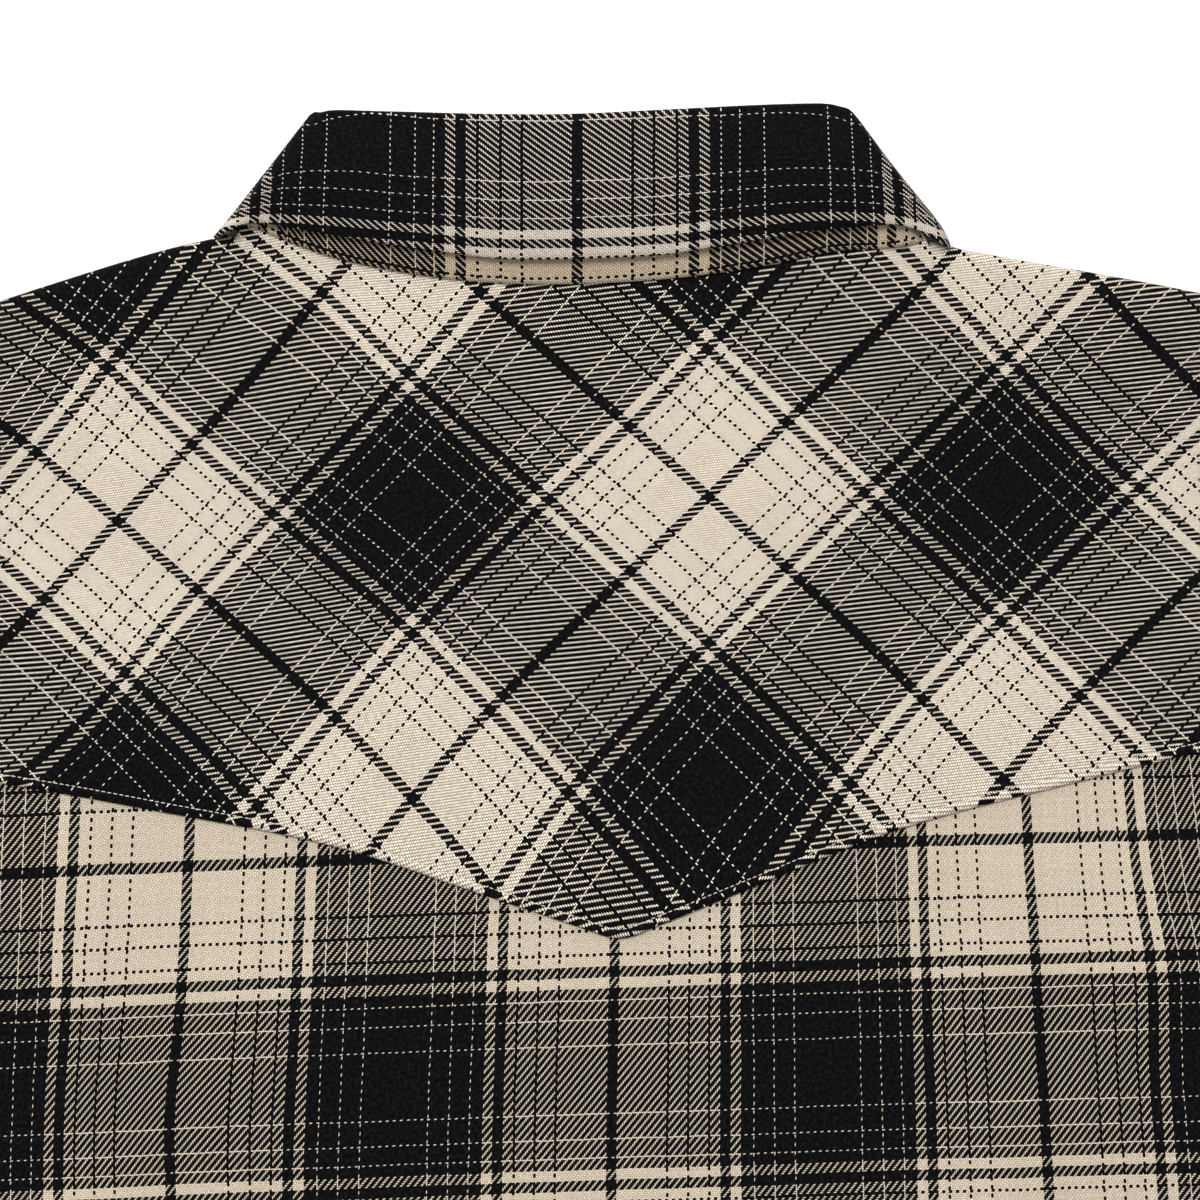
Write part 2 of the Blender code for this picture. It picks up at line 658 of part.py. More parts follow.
for side, word, edge in ((-1, "left", LEFT_EDGE), (1, "right", RIGHT_EDGE)):
    make_cloth(f"front_{word}", [
        (FRONT_COLUMNS, len(FRONT_SHARES) - 1, lambda i, j: front_point(side, edge, i, j)),
    ], CLOTH, CHECK)
    make_cloth(f"sleeve_{word}", [
        (RING, SLEEVE_ROWS, lambda i, j: sleeve_point(side, i, j)),
    ], CLOTH, CHECK)
    make_cloth(f"cuff_{word}", [
        (len(CUFF_PATH) - 1, 4, lambda i, j: cuff_point(side, i, j)),
    ], BAND, CREAM)
    make_cloth(f"sleeve_placket_{word}", [
        (4, 6, lambda i, j: sleeve_placket_point(side, i, j)),
    ], SLEEVE_PLACKET_WALL, CREAM)

make_cloth("front_placket", [(4, 12, placket_point)], PLACKET_WALL, CREAM)
make_cloth("collar_stand", [(len(COLLAR_COLUMNS) - 1, 4, stand_point)], BAND, CREAM)
make_cloth("collar_fall", [(len(COLLAR_COLUMNS) - 1, 8, fall_point)], BAND, CHECK)

for number, y in enumerate(FRONT_SNAPS, 1):
    make_snap(f"snap_front_{number}", 0.0, y, SNAP_HEIGHT, True)
under_stand = STAND_MIDDLE - STAND_RADIUS - BAND_REST - SEAM
make_snap("snap_collar", 0.0, STAND_SNAP, under_stand, True)
for side, word in ((-1, "left"), (1, "right")):
    middle = step(CUFF_START, ACROSS, sum(CUFF_FLAP) / 2)
    on_cuff = CUFF_HEIGHT + CUFF_LIFT + BAND_REST + SEAM
    for number, down in enumerate(CUFF_SNAPS, 1):
        x, y = step(middle, ALONG, down)
        make_snap(f"snap_cuff_{word}_{number}", side * x, y, on_cuff, False)
    x, y = step(middle, ALONG, -SLEEVE_SNAP)
    on_placket = SLEEVE_HEIGHT + CLOTH / 2 + SEAM + SLEEVE_PLACKET_WALL + SEAM
    make_snap(f"snap_sleeve_{word}", side * x, y, on_placket, False)
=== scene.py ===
# Western snap shirt, snapped shut and laid flat on its front, with the sleeves out to the sides.
# Everything is worked out in millimetres: x across the shirt, y up the back from the neck seam at
# centre back, z up from the table. laid() turns a place into the frame's metres.
import math

import bmesh
import bpy
import numpy as np
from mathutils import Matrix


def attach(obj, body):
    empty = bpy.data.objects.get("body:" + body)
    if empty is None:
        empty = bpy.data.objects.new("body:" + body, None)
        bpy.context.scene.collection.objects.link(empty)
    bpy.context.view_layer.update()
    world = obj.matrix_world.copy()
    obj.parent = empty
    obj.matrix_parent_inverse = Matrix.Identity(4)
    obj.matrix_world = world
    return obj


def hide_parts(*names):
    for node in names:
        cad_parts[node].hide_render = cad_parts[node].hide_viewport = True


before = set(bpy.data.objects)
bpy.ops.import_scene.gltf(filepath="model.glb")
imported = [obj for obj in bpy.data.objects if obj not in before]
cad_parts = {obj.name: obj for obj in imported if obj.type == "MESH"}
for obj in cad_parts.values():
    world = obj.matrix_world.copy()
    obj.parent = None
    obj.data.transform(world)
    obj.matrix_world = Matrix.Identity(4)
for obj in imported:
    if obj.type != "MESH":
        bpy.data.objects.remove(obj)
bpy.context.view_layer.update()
mm = 0.001

laying = {
    "neckToMiddle": 342.02,  # neck seam at centre back, above the middle of the laid shirt
    "shift": -5.4,  # collar and shoulders lie this much to the left
    "rise": ((0, 0.0), (60, 0.8), (90, 2.2), (120, 5.0), (185, 3.3), (300, 0.0)),  # left up, right down
    "reach": 150.0,  # and it fades out this far down the back
}

shot = {
    "width": 375.0,  # what the picture spans
    "middle": (-3.125, 242.92),
    "turn": 1.78,  # degrees that the shirt lies turned on the table
    "distance": 2500.0,
    "clothHeight": 6.0,
    "sensor": 36.0,
}


# Smooth numbers, and places on the shirt.

def smooth(share):
    share = np.clip(share, 0.0, 1.0)
    return share * share * (3 - 2 * share)


def mix(a, b, share):
    return a + (b - a) * share


def bell(away):
    return np.exp(-np.square(away))


def rim(inward, reach):
    # 1 at an edge, and 0 from this far inward
    return np.square(1 - np.minimum(inward / reach, 1.0))


def curve(rows, at):
    # smooth line through rows of (place, value) that starts level
    places, values = np.array(rows, float).T
    at = np.clip(at, places[0], places[-1])
    slopes = np.empty(len(places))
    slopes[0] = 0.0
    slopes[1:-1] = (values[2:] - values[:-2]) / (places[2:] - places[:-2])
    slopes[-1] = (values[-1] - values[-2]) / (places[-1] - places[-2])
    k = np.clip(np.searchsorted(places, at, side="right") - 1, 0, len(places) - 2)
    run = places[k + 1] - places[k]
    t = (at - places[k]) / run
    return (values[k] * (1 + 2 * t) * (1 - t) ** 2 + values[k + 1] * t * t * (3 - 2 * t)
            + run * (slopes[k] * t * (1 - t) ** 2 - slopes[k + 1] * t * t * (1 - t)))


def inOrder(*arrays):
    return np.stack(np.broadcast_arrays(*arrays), axis=-1)


def lengths(points):
    # how far along a run of points each one is
    steps = np.linalg.norm(np.diff(points, axis=0), axis=1)
    return np.concatenate([[0.0], np.cumsum(steps)])


def unit(rows):
    return rows / np.maximum(np.linalg.norm(rows, axis=1), 1e-9)[:, None]


def counted(across, along):
    # millimetres across and along the warp, as numbers of yarns
    return inOrder(across / yarn["warpPitch"], along / yarn["weftPitch"])


def moved(x, y):
    # where a place on the shirt lies once collar and shoulders have shifted
    full = smooth((y + laying["reach"]) / laying["reach"])
    rise = -np.sign(x) * curve(laying["rise"], np.abs(x))
    return x + laying["shift"] * full, y + rise * full


pulls = {
    # where the cloth was pulled out of its even lay: x, y, reach, then how far right and up
    "yoke": (
        (-153.8, -14.7, 23.0, 0.5, 2.2),
        (-91.0, -8.8, 25.0, 0.6, 2.2),
        (-53.3, -103.8, 37.0, -0.4, 1.9),
        (-166.6, -125.3, 28.0, 2.2, -2.6),
        (-22.3, -64.1, 31.0, -1.5, 0.5),
        (157.8, -54.0, 37.0, -2.0, -0.5),
        (108.0, -146.3, 28.0, -1.5, 0.0),
    ),
    "back": (
        (-144.0, -257.4, 30.0, -2.2, 0.0),
        (174.6, -220.3, 23.0, 2.6, 0.0),
    ),
}


def evenly(name, x, y):
    # where a place would lie if the cloth hadn't been pulled
    for atX, atY, reach, right, up in pulls[name]:
        near = bell(np.hypot(x - atX, y - atY) / reach)
        x, y = x - right * near, y - up * near
    return x, y


def laid(points):
    x, y = moved(points[..., 0], points[..., 1])
    return inOrder(x, y + laying["neckToMiddle"], points[..., 2]) * mm


# Camera, lights and table.

def added(name, data):
    made = bpy.data.objects.new(name, data)
    bpy.context.scene.collection.objects.link(made)
    return made


def addedPiece(name, mesh, place=(0.0, 0.0, 0.0), turned=0.0):
    piece = added(name, mesh)
    piece.location = place
    piece.rotation_euler.x = turned
    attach(piece, "root")
    return piece


def makeCamera():
    lens = bpy.data.cameras.new("shotCamera")
    lens.sensor_width = shot["sensor"]
    lens.lens = shot["sensor"] * shot["distance"] / shot["width"]
    camera = added("shotCamera", lens)
    x, y = shot["middle"]
    camera.location = (x * mm, y * mm, (shot["distance"] + shot["clothHeight"]) * mm)
    camera.rotation_euler = (0.0, 0.0, -math.radians(shot["turn"]))
    bpy.context.scene.camera = camera


studio = {
    # watts, and metres from the middle of the shirt
    "lights": {
        "key": {"energy": 215.0, "size": 2.0, "place": (-1.2, 2.3, 4.0)},
        "low": {"energy": 130.0, "size": 3.6, "place": (-0.6, 5.0, 1.6)},
        "fill": {"energy": 40.0, "size": 5.0, "place": (2.0, -2.4, 4.0)},
    },
    "room": 0.50,
    "table": (0.92, 0.92, 0.92, 1.0),
    "tableHalf": 6.0,
    "tableBelow": 0.0002,
}


def makeLight(name, light):
    lamp = bpy.data.lights.new(name, "AREA")
    lamp.shape = "DISK"
    lamp.size = light["size"]
    lamp.energy = light["energy"]
    holder = added(name, lamp)
    holder.location = light["place"]
    aim = -holder.location.normalized()
    holder.rotation_euler = aim.to_track_quat("-Z", "Y").to_euler()


def makeStudio():
    for name, light in studio["lights"].items():
        makeLight(name, light)
    world = bpy.data.worlds.new("room")
    world.use_nodes = True
    room = world.node_tree.nodes["Background"]
    room.inputs["Color"].default_value = (1.0, 1.0, 1.0, 1.0)
    room.inputs["Strength"].default_value = studio["room"]
    bpy.context.scene.world = world
    bpy.context.scene.view_settings.view_transform = "Standard"
    paper = Finish("tablePaper")
    paper.set("Base Color", studio["table"])
    paper.set("Roughness", 0.9)
    half = studio["tableHalf"]
    mesh = bpy.data.meshes.new("table")
    corners = [(-half, -half, 0), (half, -half, 0), (half, half, 0), (-half, half, 0)]
    mesh.from_pydata(corners, [], [(0, 1, 2, 3)])
    mesh.materials.append(paper.material)
    table = added("table", mesh)
    table.location.z = -studio["tableBelow"]


# Shader nodes written as sums.

def operator(operation, swapped=False):
    def applied(self, other):
        return self.finish.math(operation, *((other, self) if swapped else (self, other)))
    return applied


class Value:
    # a socket that takes part in sums; every operator adds one Math node
    def __init__(self, finish, socket):
        self.finish = finish
        self.socket = socket

    def of(self, name):
        return Value(self.finish, self.socket.node.outputs[name])

    __add__ = operator("ADD")
    __radd__ = operator("ADD", True)
    __sub__ = operator("SUBTRACT")
    __rsub__ = operator("SUBTRACT", True)
    __mul__ = operator("MULTIPLY")
    __rmul__ = operator("MULTIPLY", True)
    __mod__ = operator("FLOORED_MODULO")
    __gt__ = operator("GREATER_THAN")
    __lt__ = operator("LESS_THAN")


class Finish:
    def __init__(self, name):
        self.material = bpy.data.materials.new(name)
        self.material.use_nodes = True
        self.tree = self.material.node_tree
        self.shader = self.tree.nodes["Principled BSDF"]

    def node(self, kind, settings, sockets):
        made = self.tree.nodes.new("ShaderNode" + kind)
        for key, value in settings.items():
            setattr(made, key, value)
        for key, value in sockets.items():
            self.fill(made.inputs[key], value)
        return Value(self, made.outputs[0])

    def fill(self, socket, value):
        if isinstance(value, Value):
            self.tree.links.new(value.socket, socket)
        else:
            socket.default_value = value

    def math(self, operation, *values):
        return self.node("Math", {"operation": operation}, dict(enumerate(values)))

    def blend(self, factor, low, high):
        made = self.node("Mix", {"data_type": "RGBA"}, {0: factor, 6: low, 7: high})
        return Value(self, made.socket.node.outputs[2])

    def scaled(self, color, factor):
        return self.node("VectorMath", {"operation": "SCALE"}, {"Vector": color, "Scale": factor})

    def noise(self, vector, scale, detail=2.0):
        sockets = {"Vector": vector, "Scale": scale, "Detail": detail}
        return self.node("TexNoise", {"noise_dimensions": "2D"}, sockets)

    def strands(self, vector, scales):
        stretched = self.node("VectorMath", {"operation": "MULTIPLY"}, {0: vector, 1: scales})
        return self.noise(stretched, 1.0)

    def perYarn(self, number):
        return self.node("TexWhiteNoise", {"noise_dimensions": "1D"}, {"W": number})

    def set(self, name, value):
        self.fill(self.shader.inputs[name], value)


# Finishes of cloth, thread and snaps.

yarn = {
    "warpPitch": 0.5365,  # mm between warp yarns
    "weftPitch": 0.6677,  # and between weft yarns
    "cream": (0.66, 0.575, 0.467),
    "dark": (0.0024, 0.0024, 0.0030),
    "pinch": 0.85,  # how much a float narrows towards its ends
    "cover": 0.56,  # how far from its middle it hides the yarns below
    "hidden": 0.36,  # and how much less far where dark yarns pass under a cream one
    "tight": 0.5,  # how dark the gap is on the side where two floats lie close
    "warpTurn": 126,  # yarns from the middle of one dark stripe to the middle of the light
    "weftTurn": 105,
    # where the yarns change between dark and cream, counted from the middle of the dark stripe
    "warpChanges": (3, 32, 33, 44, 45, 56, 57, 63, 69, 75, 82.2, 82.8, 94.2, 94.8, 106.2, 106.8),
    "weftChanges": (2.5, 25.5, 26.5, 35.5, 36.5, 46.5, 47.5, 52.5, 57.5, 62.5, 67.7, 68.3, 76.7, 77.3,
                    88.7, 89.3),
    # single dark yarns swell over the cream ones beside them
    "warpSwollen": (31.72, 32, 33, 33.28, 43.72, 44, 45, 45.28, 55.72, 56, 57, 57.28),
    "weftSwollen": (25.25, 25.5, 26.5, 26.75, 35.25, 35.5, 36.5, 36.75, 46.25, 46.5, 47.5, 47.75),
    # bands of several dark yarns
    "warpBands": (3, 63, 69, 75),
    "weftBands": (2.5, 52.5, 57.5, 62.5),
}


def between(finish, place, changes, turn):
    # 0 up to the first change, 1 up to the next, and so on
    folded = finish.math("PINGPONG", place, turn)
    passed = sum((folded > change for change in changes[1:]), folded > changes[0])
    return passed % 2.0


def makeFlannel(name, tone, depth):
    flannel = Finish(name)
    threads = flannel.node("UVMap", {"uv_map": "threads"}, {})
    drift = flannel.noise(threads, 0.045, 1.0)
    apart = flannel.node("SeparateXYZ", {}, {0: threads})
    warp = apart.of("X") + drift * 0.9
    weft = apart.of("Y") + drift * 0.7

    # two over, two under
    warpPlace = flannel.math("FLOOR", warp)
    weftPlace = flannel.math("FLOOR", weft + 0.5)
    step = (warpPlace - weftPlace) % 4.0
    warpOnTop = step < 2.0

    def upper(ofWarp, ofWeft):
        return ofWeft + (ofWarp - ofWeft) * warpOnTop

    def either(ofWarp, ofWeft):
        return flannel.math("MAXIMUM", ofWarp, ofWeft)

    def stripes(kind):
        for way, place in (("warp", warp), ("weft", weft)):
            yield between(flannel, place, yarn[way + kind], yarn[way + "Turn"])

    # each yarn on top is a float two yarns long, round across and pinched where it dives; one of its
    # sides lies tight against the next float
    side = upper((2.0 * (warp - warpPlace) - 1.0) * (2.0 * step - 1.0),
                 (2.0 * (weft + 0.5 - weftPlace) - 1.0) * (5.0 - 2.0 * step))
    run = upper((warpPlace - weft + 1.5) % 4.0 - 2.0, (warp - weftPlace) % 4.0 - 3.0)
    diving = (run * run) * (run * run)
    drop = side * side + yarn["pinch"] * diving
    warpDark, weftDark = (1.0 - cream for cream in stripes("Changes"))
    topDark = upper(warpDark, weftDark)
    below = (either(warpDark, weftDark) - topDark) * either(*(1.0 - cream for cream in stripes("Bands")))
    gap = drop > yarn["cover"] - yarn["hidden"] * below
    dark = topDark + below * gap * (yarn["tight"] + (1.0 - yarn["tight"]) * (side > 0.0))
    warpSwollen, weftSwollen = stripes("Swollen")
    warpBeside = (step + 2.0 * (warp - warpPlace > 0.5) + 3.0) % 4.0 < 2.0
    weftBeside = (step - 2.0 * (weft + 0.5 - weftPlace > 0.5) + 1.0) % 4.0 > 1.5
    dark = either(dark, either(warpSwollen * warpBeside, weftSwollen * weftBeside))

    # each yarn has a shade of its own, and fibres that lie along it; nap and wear cloud them all
    shade = upper(flannel.perYarn(warpPlace), flannel.perYarn(weftPlace + 0.37))
    fibre = upper(flannel.strands(threads, (4.0, 0.8, 1.0)), flannel.strands(threads, (0.8, 4.0, 1.0)))
    wear = flannel.noise(threads, 0.012)
    nap = flannel.noise(threads, 0.5)
    crown = 1.0 - drop
    # cream is darkened towards the sides and ends of each float: painted shade where the yarns dip between
    # their neighbours; depth sets how deep it is, and how strong the nap
    valleyShade = flannel.math("MINIMUM", 0.7 * side * side + 1.6 * diving, 1.1) - 0.5
    light = 0.51 + 0.12 * shade + 0.34 * fibre + 0.10 * wear + 0.03 * warpOnTop
    light = (light + 0.4 * depth * (nap - 0.56)) * (1.0 - depth * valleyShade)
    # dark yarns are lighter on their crowns: a painted highlight, clouded by the nap's real lint
    glint = (0.35 + 1.1 * crown) * (7.0 * nap * nap * nap)
    cream = tuple(part * tint for part, tint in zip(yarn["cream"], tone))
    color = flannel.blend(dark, flannel.scaled(cream, light), flannel.scaled(yarn["dark"], glint))
    bump = {"Strength": 0.12, "Distance": 0.12 * mm, "Height": crown + 0.5 * fibre}
    flannel.set("Base Color", color)
    flannel.set("Roughness", 0.82 + 0.1 * fibre)
    flannel.set("Normal", flannel.node("Bump", {}, bump))
    flannel.set("Specular IOR Level", 0.06)
    flannel.set("Sheen Weight", 0.012)
    flannel.set("Sheen Roughness", 0.5)
    return flannel.material


# roughness and what a cloudy noise adds to it; the noise also runs from the low to the high colour
clouded = {
    "topstitchThread": {
        "noise": {"Scale": 2600.0, "Detail": 1.0},
        "low": (0.42, 0.37, 0.30, 1.0),
        "high": (0.66, 0.60, 0.51, 1.0),
        "rough": (0.6, 0.0),
        "others": {"Specular IOR Level": 0.35},
    },
    "pearlCap": {
        "noise": {"Scale": 260.0, "Detail": 3.0, "Distortion": 1.6},
        "low": (0.55, 0.53, 0.50, 1.0),
        "high": (0.86, 0.84, 0.80, 1.0),
        "rough": (0.16, 0.12),
        "others": {"Coat Weight": 0.4},
    },
    "snapRim": {
        "noise": {"Scale": 900.0, "Detail": 2.0},
        "rough": (0.22, 0.16),
        "others": {"Base Color": (0.62, 0.61, 0.59, 1.0), "Metallic": 1.0},
    },
}


def makeClouded(name):
    look = clouded[name]
    finish = Finish(name)
    cloud = finish.node("TexNoise", {}, look["noise"])
    least, more = look["rough"]
    finish.set("Roughness", least + more * cloud)
    if "low" in look:
        finish.set("Base Color", finish.blend(cloud, look["low"], look["high"]))
    for socket, value in look["others"].items():
        finish.set(socket, value)
    return finish.material


makeCamera()
makeStudio()
finishes = {
    # one cloth in every piece; the body is toned darker and warmer than the yoke, in part as painted shade
    # of the back
    "body_flannel": makeFlannel("bodyFlannel", (0.815, 0.795, 0.755), 0.75),
    "yoke_flannel": makeFlannel("yokeFlannel", (0.895, 0.895, 0.905), 1.6),
    "collar_flannel": makeFlannel("collarFlannel", (0.79, 0.79, 0.83), 1.0),
    # the stand's much darker, browner tone is painted shade, where it lies under the fall's edge
    "standPaintedShadeFlannel": makeFlannel("standPaintedShadeFlannel", (0.63, 0.58, 0.505), 1.0),
}
threadFinish, pearlFinish, metalFinish = [makeClouded(name) for name in clouded]
print("camera, studio and finishes made")


# Pieces made from grids of points.

def gridFaces(rows, columns, first):
    at = first + np.arange(rows * columns).reshape(rows, columns)
    return np.stack([at[:-1, :-1], at[:-1, 1:], at[1:, 1:], at[1:, :-1]], axis=-1).reshape(-1, 4)


def gridArea(points):
    across = points[:-1, 1:] - points[:-1, :-1]
    down = points[1:, :-1] - points[:-1, :-1]
    return float(np.linalg.norm(np.cross(across, down), axis=-1).sum()) * mm * mm


def makeCloth(name, slot, grids, wall, replaced, cut, finish=None):
    # grids hold (points, threads), each rows by columns; they are welded where they meet
    points = np.concatenate([laid(p).reshape(-1, 3) for p, t in grids])
    threads = np.concatenate([t.reshape(-1, 2) for p, t in grids])
    firsts = np.cumsum([0] + [p.shape[0] * p.shape[1] for p, t in grids])
    faces = np.concatenate([gridFaces(*p.shape[:2], first) for (p, t), first in zip(grids, firsts)])
    mesh = bpy.data.meshes.new(name)
    mesh.from_pydata(points.tolist(), [], faces.tolist())
    layer = mesh.uv_layers.new(name="threads")
    layer.data.foreach_set("uv", threads[faces.ravel()].astype(np.float32).ravel())
    bm = bmesh.new()
    bm.from_mesh(mesh)
    bmesh.ops.remove_doubles(bm, verts=bm.verts, dist=2e-6)
    bm.to_mesh(mesh)
    bm.free()
    mesh.shade_smooth()
    mesh.materials.append(finishes[finish or slot])
    piece = addedPiece(name, mesh)
    solid = piece.modifiers.new("wall", "SOLIDIFY")
    solid.thickness = wall * mm
    solid.offset = 0.0
    solid.use_even_offset = True
    solid.use_quality_normals = True
    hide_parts(replaced)
    area = sum(gridArea(p) for p, t in grids)
    print(f"{name}: {len(faces)} faces, {area:.4f} square metres")


stitchShape = {
    "length": 0.74,  # share of the pitch
    "thick": 0.15,
    "flat": 1.25,
    "sides": 6,
    # place along the stitch, fatness and how far it dives, from one end to the other
    "rings": ((-0.5, 0.35, -0.5), (-0.32, 0.95, 0.0), (0.32, 0.95, 0.0), (0.5, 0.35, -0.5)),
}


def sewStitches(name, runs, pitch):
    # short strands laid end to end along each run of points, as one mesh
    sides = stitchShape["sides"]
    thick = stitchShape["thick"]
    at, fat, dive = np.array(stitchShape["rings"]).T[..., None, None]
    turns = (np.arange(sides) * 2 * math.pi / sides)[:, None]
    stitches = []
    for run in runs:
        along = lengths(run)
        middles = (np.arange(int(along[-1] / pitch)) + 0.5) * pitch
        center = np.stack([np.interp(middles, along, part) for part in run.T], axis=1)
        ahead = np.stack([np.interp(middles + 0.4, along, part) for part in run.T], axis=1)
        way = unit(ahead - center)
        side = unit(np.cross(way, (0.0, 0.0, 1.0)))
        up = np.cross(side, way)
        center, way, side, up = [part[:, None, None] for part in (center, way, side, up)]
        out = side * np.cos(turns) * stitchShape["flat"] + up * np.sin(turns)
        spot = center + way * (at * stitchShape["length"] * pitch) + up * (dive * thick)
        stitches.append(spot + out * thick * fat)
    points = laid(np.concatenate(stitches).reshape(-1, 3))
    ring = np.arange(sides)
    around = np.stack([ring, np.roll(ring, -1), np.roll(ring, -1) + sides, ring + sides], axis=1)
    walls = [tuple(face + sides * row) for row in range(len(at) - 1) for face in around]
    each = walls + [tuple(ring[::-1]), tuple(ring + sides * (len(at) - 1))]
    size = sides * len(at)
    firsts = range(0, len(points), size)
    faces = [[int(corner) + first for corner in face] for first in firsts for face in each]
    mesh = bpy.data.meshes.new(name)
    mesh.from_pydata(points.tolist(), [], faces)
    mesh.shade_smooth()
    mesh.materials.append(threadFinish)
    addedPiece(name, mesh)


# How high the layers of the laid shirt lie.

cloth = {
    "wall": 1.1,  # one panel as it is made
    "cadWall": 1.2,
    "band": 1.5,  # collar and cuffs
    "rest": 0.6,  # middle of a panel that rests on the table
    "seam": 0.3,
    "overPlacket": 3.5,  # how far the layers rise over the placket
}

collar = {
    "standCut": (0.44, 0.05),  # metres, as each piece was cut
    "fallCut": (0.5, 0.08),
    "seamHalf": 107.0,  # half width of the stand at the neck seam
    "foldHalf": 81.4,  # at the fold
    "edgeHalf": 114.0,  # and of the fall at its edge
    "standMiddle": 5.7,
    "standRadius": 2.75,
    "edgeMiddle": 6.75,
    "edgeRadius": 5.95,
    "sideNeck": 18.0,  # y of the neck seam where it turns to the front
    "neckDrop": 65.0,  # from there to the neck seam at centre front
    "frontFold": -15.0,
    "sideFold": 49.3,
    "foldTop": ((0, 52.9), (30, 53.6), (55, 54.6), (66, 55.0), (73, 55.2), (76, 55.0), (79, 54.3)),
    "fallEdge": ((0, 7.8), (25, 8.4), (38, 10.1), (59, 13.3), (81, 17.0), (98, 19.5), (104, 18.8),
                 (109, 16.5)),
    "fallSide": 13.4,
    "point": (48.0, -87.0),  # tip of the collar's leaf
    "fallFront": 3.0,
    "roll": 1.05,
    "halfBand": 0.8,
    "standShare": 0.85,
    "overlap": 12.0,
    "liftUp": 1.9,
    "slope": 1.0,  # how far the stand comes down to the neck seam
    "sag": {-1: -1.0, 1: 4.0},  # and how far its ends hang down the back
    "neckCurve": (15.0, 98.0, 2.15),  # the neck seam at the back rises by this at this x, to this power
    "corner": 1.3,  # how square the ends of the fold are
    "dome": 4.2,  # how far the fall rises between its fold and its edge
    "domeEnd": (112.0, 14.0),  # x where it is flat again, and how soon
    "arcForm": 0.4,  # and what its ends bulge
    "tuck": 1.0,  # and how far the edge dips
    "bulge": {-1: (1.95, -0.3), 1: (3.75, 2.1)},  # how far its ends stand out, at the fold and below
    "tip": {-1: (0.4, -0.6), 1: (0.4, -1.4)},  # and where their tips have moved to
}


def leafEdge(x):
    pointX, pointY = collar["point"]
    side = collar["edgeHalf"] - collar["edgeRadius"]
    outer = mix(pointY, collar["fallSide"], (x - pointX) / (side - pointX))
    inner = mix(collar["frontFold"], pointY, (x - collar["fallFront"]) / (pointX - collar["fallFront"]))
    return np.where(x > pointX, outer, inner)


def lift(x, y, margin, spread):
    inside = y - leafEdge(np.abs(x)) + margin
    return collar["liftUp"] * smooth(1 + inside / spread)


def raised(x, full, zero):
    return cloth["overPlacket"] * (1 - smooth((np.abs(x) - full) / (zero - full)))


def leafLift(x, y):
    return lift(x, y, 23.0, 24.0)


def frontHeight(x, y):
    return cloth["rest"] + np.maximum(leafLift(x, y), raised(x, 25.5, 46.0))


backPanel = {
    "cut": (0.575, 0.62),  # metres, as it was cut
    "rest": 2.85,  # middle of the back where it lies on the fronts
    "armhole": ((-249, 285.0), (-222, 256.0), (-190, 237.0), (-150, 226.0), (-105, 223.0), (-60, 227.5),
                (-17, 235.0)),
    "side": ((-652, 276.0), (-420, 277.0), (-249, 285.0)),
    "hem": ((0, -740), (110, -738), (190, -722), (245, -690), (276, -652)),
    # soft folds: from, to, half width, height
    "folds": (
        ((-168, -150), (-150, -600), 17, 3.0),
        ((-86, -185), (-98, -470), 16, 2.0),
        ((34, -215), (26, -520), 18, 1.6),
        ((116, -160), (128, -640), 17, 3.0),
        ((205, -230), (178, -560), 20, 2.4),
    ),
    "sewn": 1.95,  # middle of the back where it's sewn to the fronts
    "hemDepth": 6.5,
    "stitch": 2.4,
}


def foldHeight(folds, x, y):
    height = 0.0
    for (x0, y0), (x1, y1), half, top in folds:
        along = ((x - x0) * (x1 - x0) + (y - y0) * (y1 - y0)) / ((x1 - x0) ** 2 + (y1 - y0) ** 2)
        near = np.clip(along, 0.0, 1.0)
        away = np.hypot(x - mix(x0, x1, near), y - mix(y0, y1, near))
        height = height + top * bell(away / half) * smooth(along / 0.15) * smooth((1 - along) / 0.35)
    return height


def backHeight(x, y):
    under = (lift(x, y, 36.0, 60.0) ** 3 + raised(x, 34.0, 130.0) ** 3) ** (1 / 3)
    return backPanel["rest"] + under + foldHeight(backPanel["folds"], x, y)


def swell(x, y):
    # slow rise and fall of cloth that was smoothed by hand
    slow = np.sin(x / 33 + 1.3 * np.sin(y / 51 + 0.4)) * np.sin(y / 42 + 0.9 * np.sin(x / 61 + 2.0))
    quick = np.sin(x / 15 + 0.7 * np.sin(y / 19)) * np.sin(y / 23 + 1.1)
    return (0.42 * slow + 0.12 * quick) * smooth((-8 - y) / 40)


def outline(y):
    underarm = backPanel["armhole"][0][0]
    return np.where(y > underarm, curve(backPanel["armhole"], y), curve(backPanel["side"], y))


# Back and yoke.

backCheck = {
    "level": -240.0,  # where the stripes' places were marked
    "repeat": (135.0, 60.0),  # the marks' spacing across and down
    "warp": (6.1, 252.8, 2.1),  # yarns at that level: at the middle, per repeat, and its growth
    "lean": (5.4, -6.1, -3.1),  # and what they gain on the way down, likewise
    "weft": (-0.7, -0.4, 0.8, -1.7),
    "crossStripe": -179.0,
}


def backThreads(x, y):
    x, y = evenly("back", *moved(x, y))
    across = x / backCheck["repeat"][0]
    down = (backCheck["level"] - y) / backCheck["repeat"][1]
    down = np.where(down < 0, down, np.tanh(down))
    powers = np.array([across ** 0, across, across ** 2])
    warp = np.tensordot(backCheck["warp"], powers, 1) + down * np.tensordot(backCheck["lean"], powers, 1)
    sag = np.tensordot(backCheck["weft"][:3], powers, 1) + backCheck["weft"][3] * down * down
    return inOrder(warp, (y - backCheck["crossStripe"]) / yarn["weftPitch"] + sag)


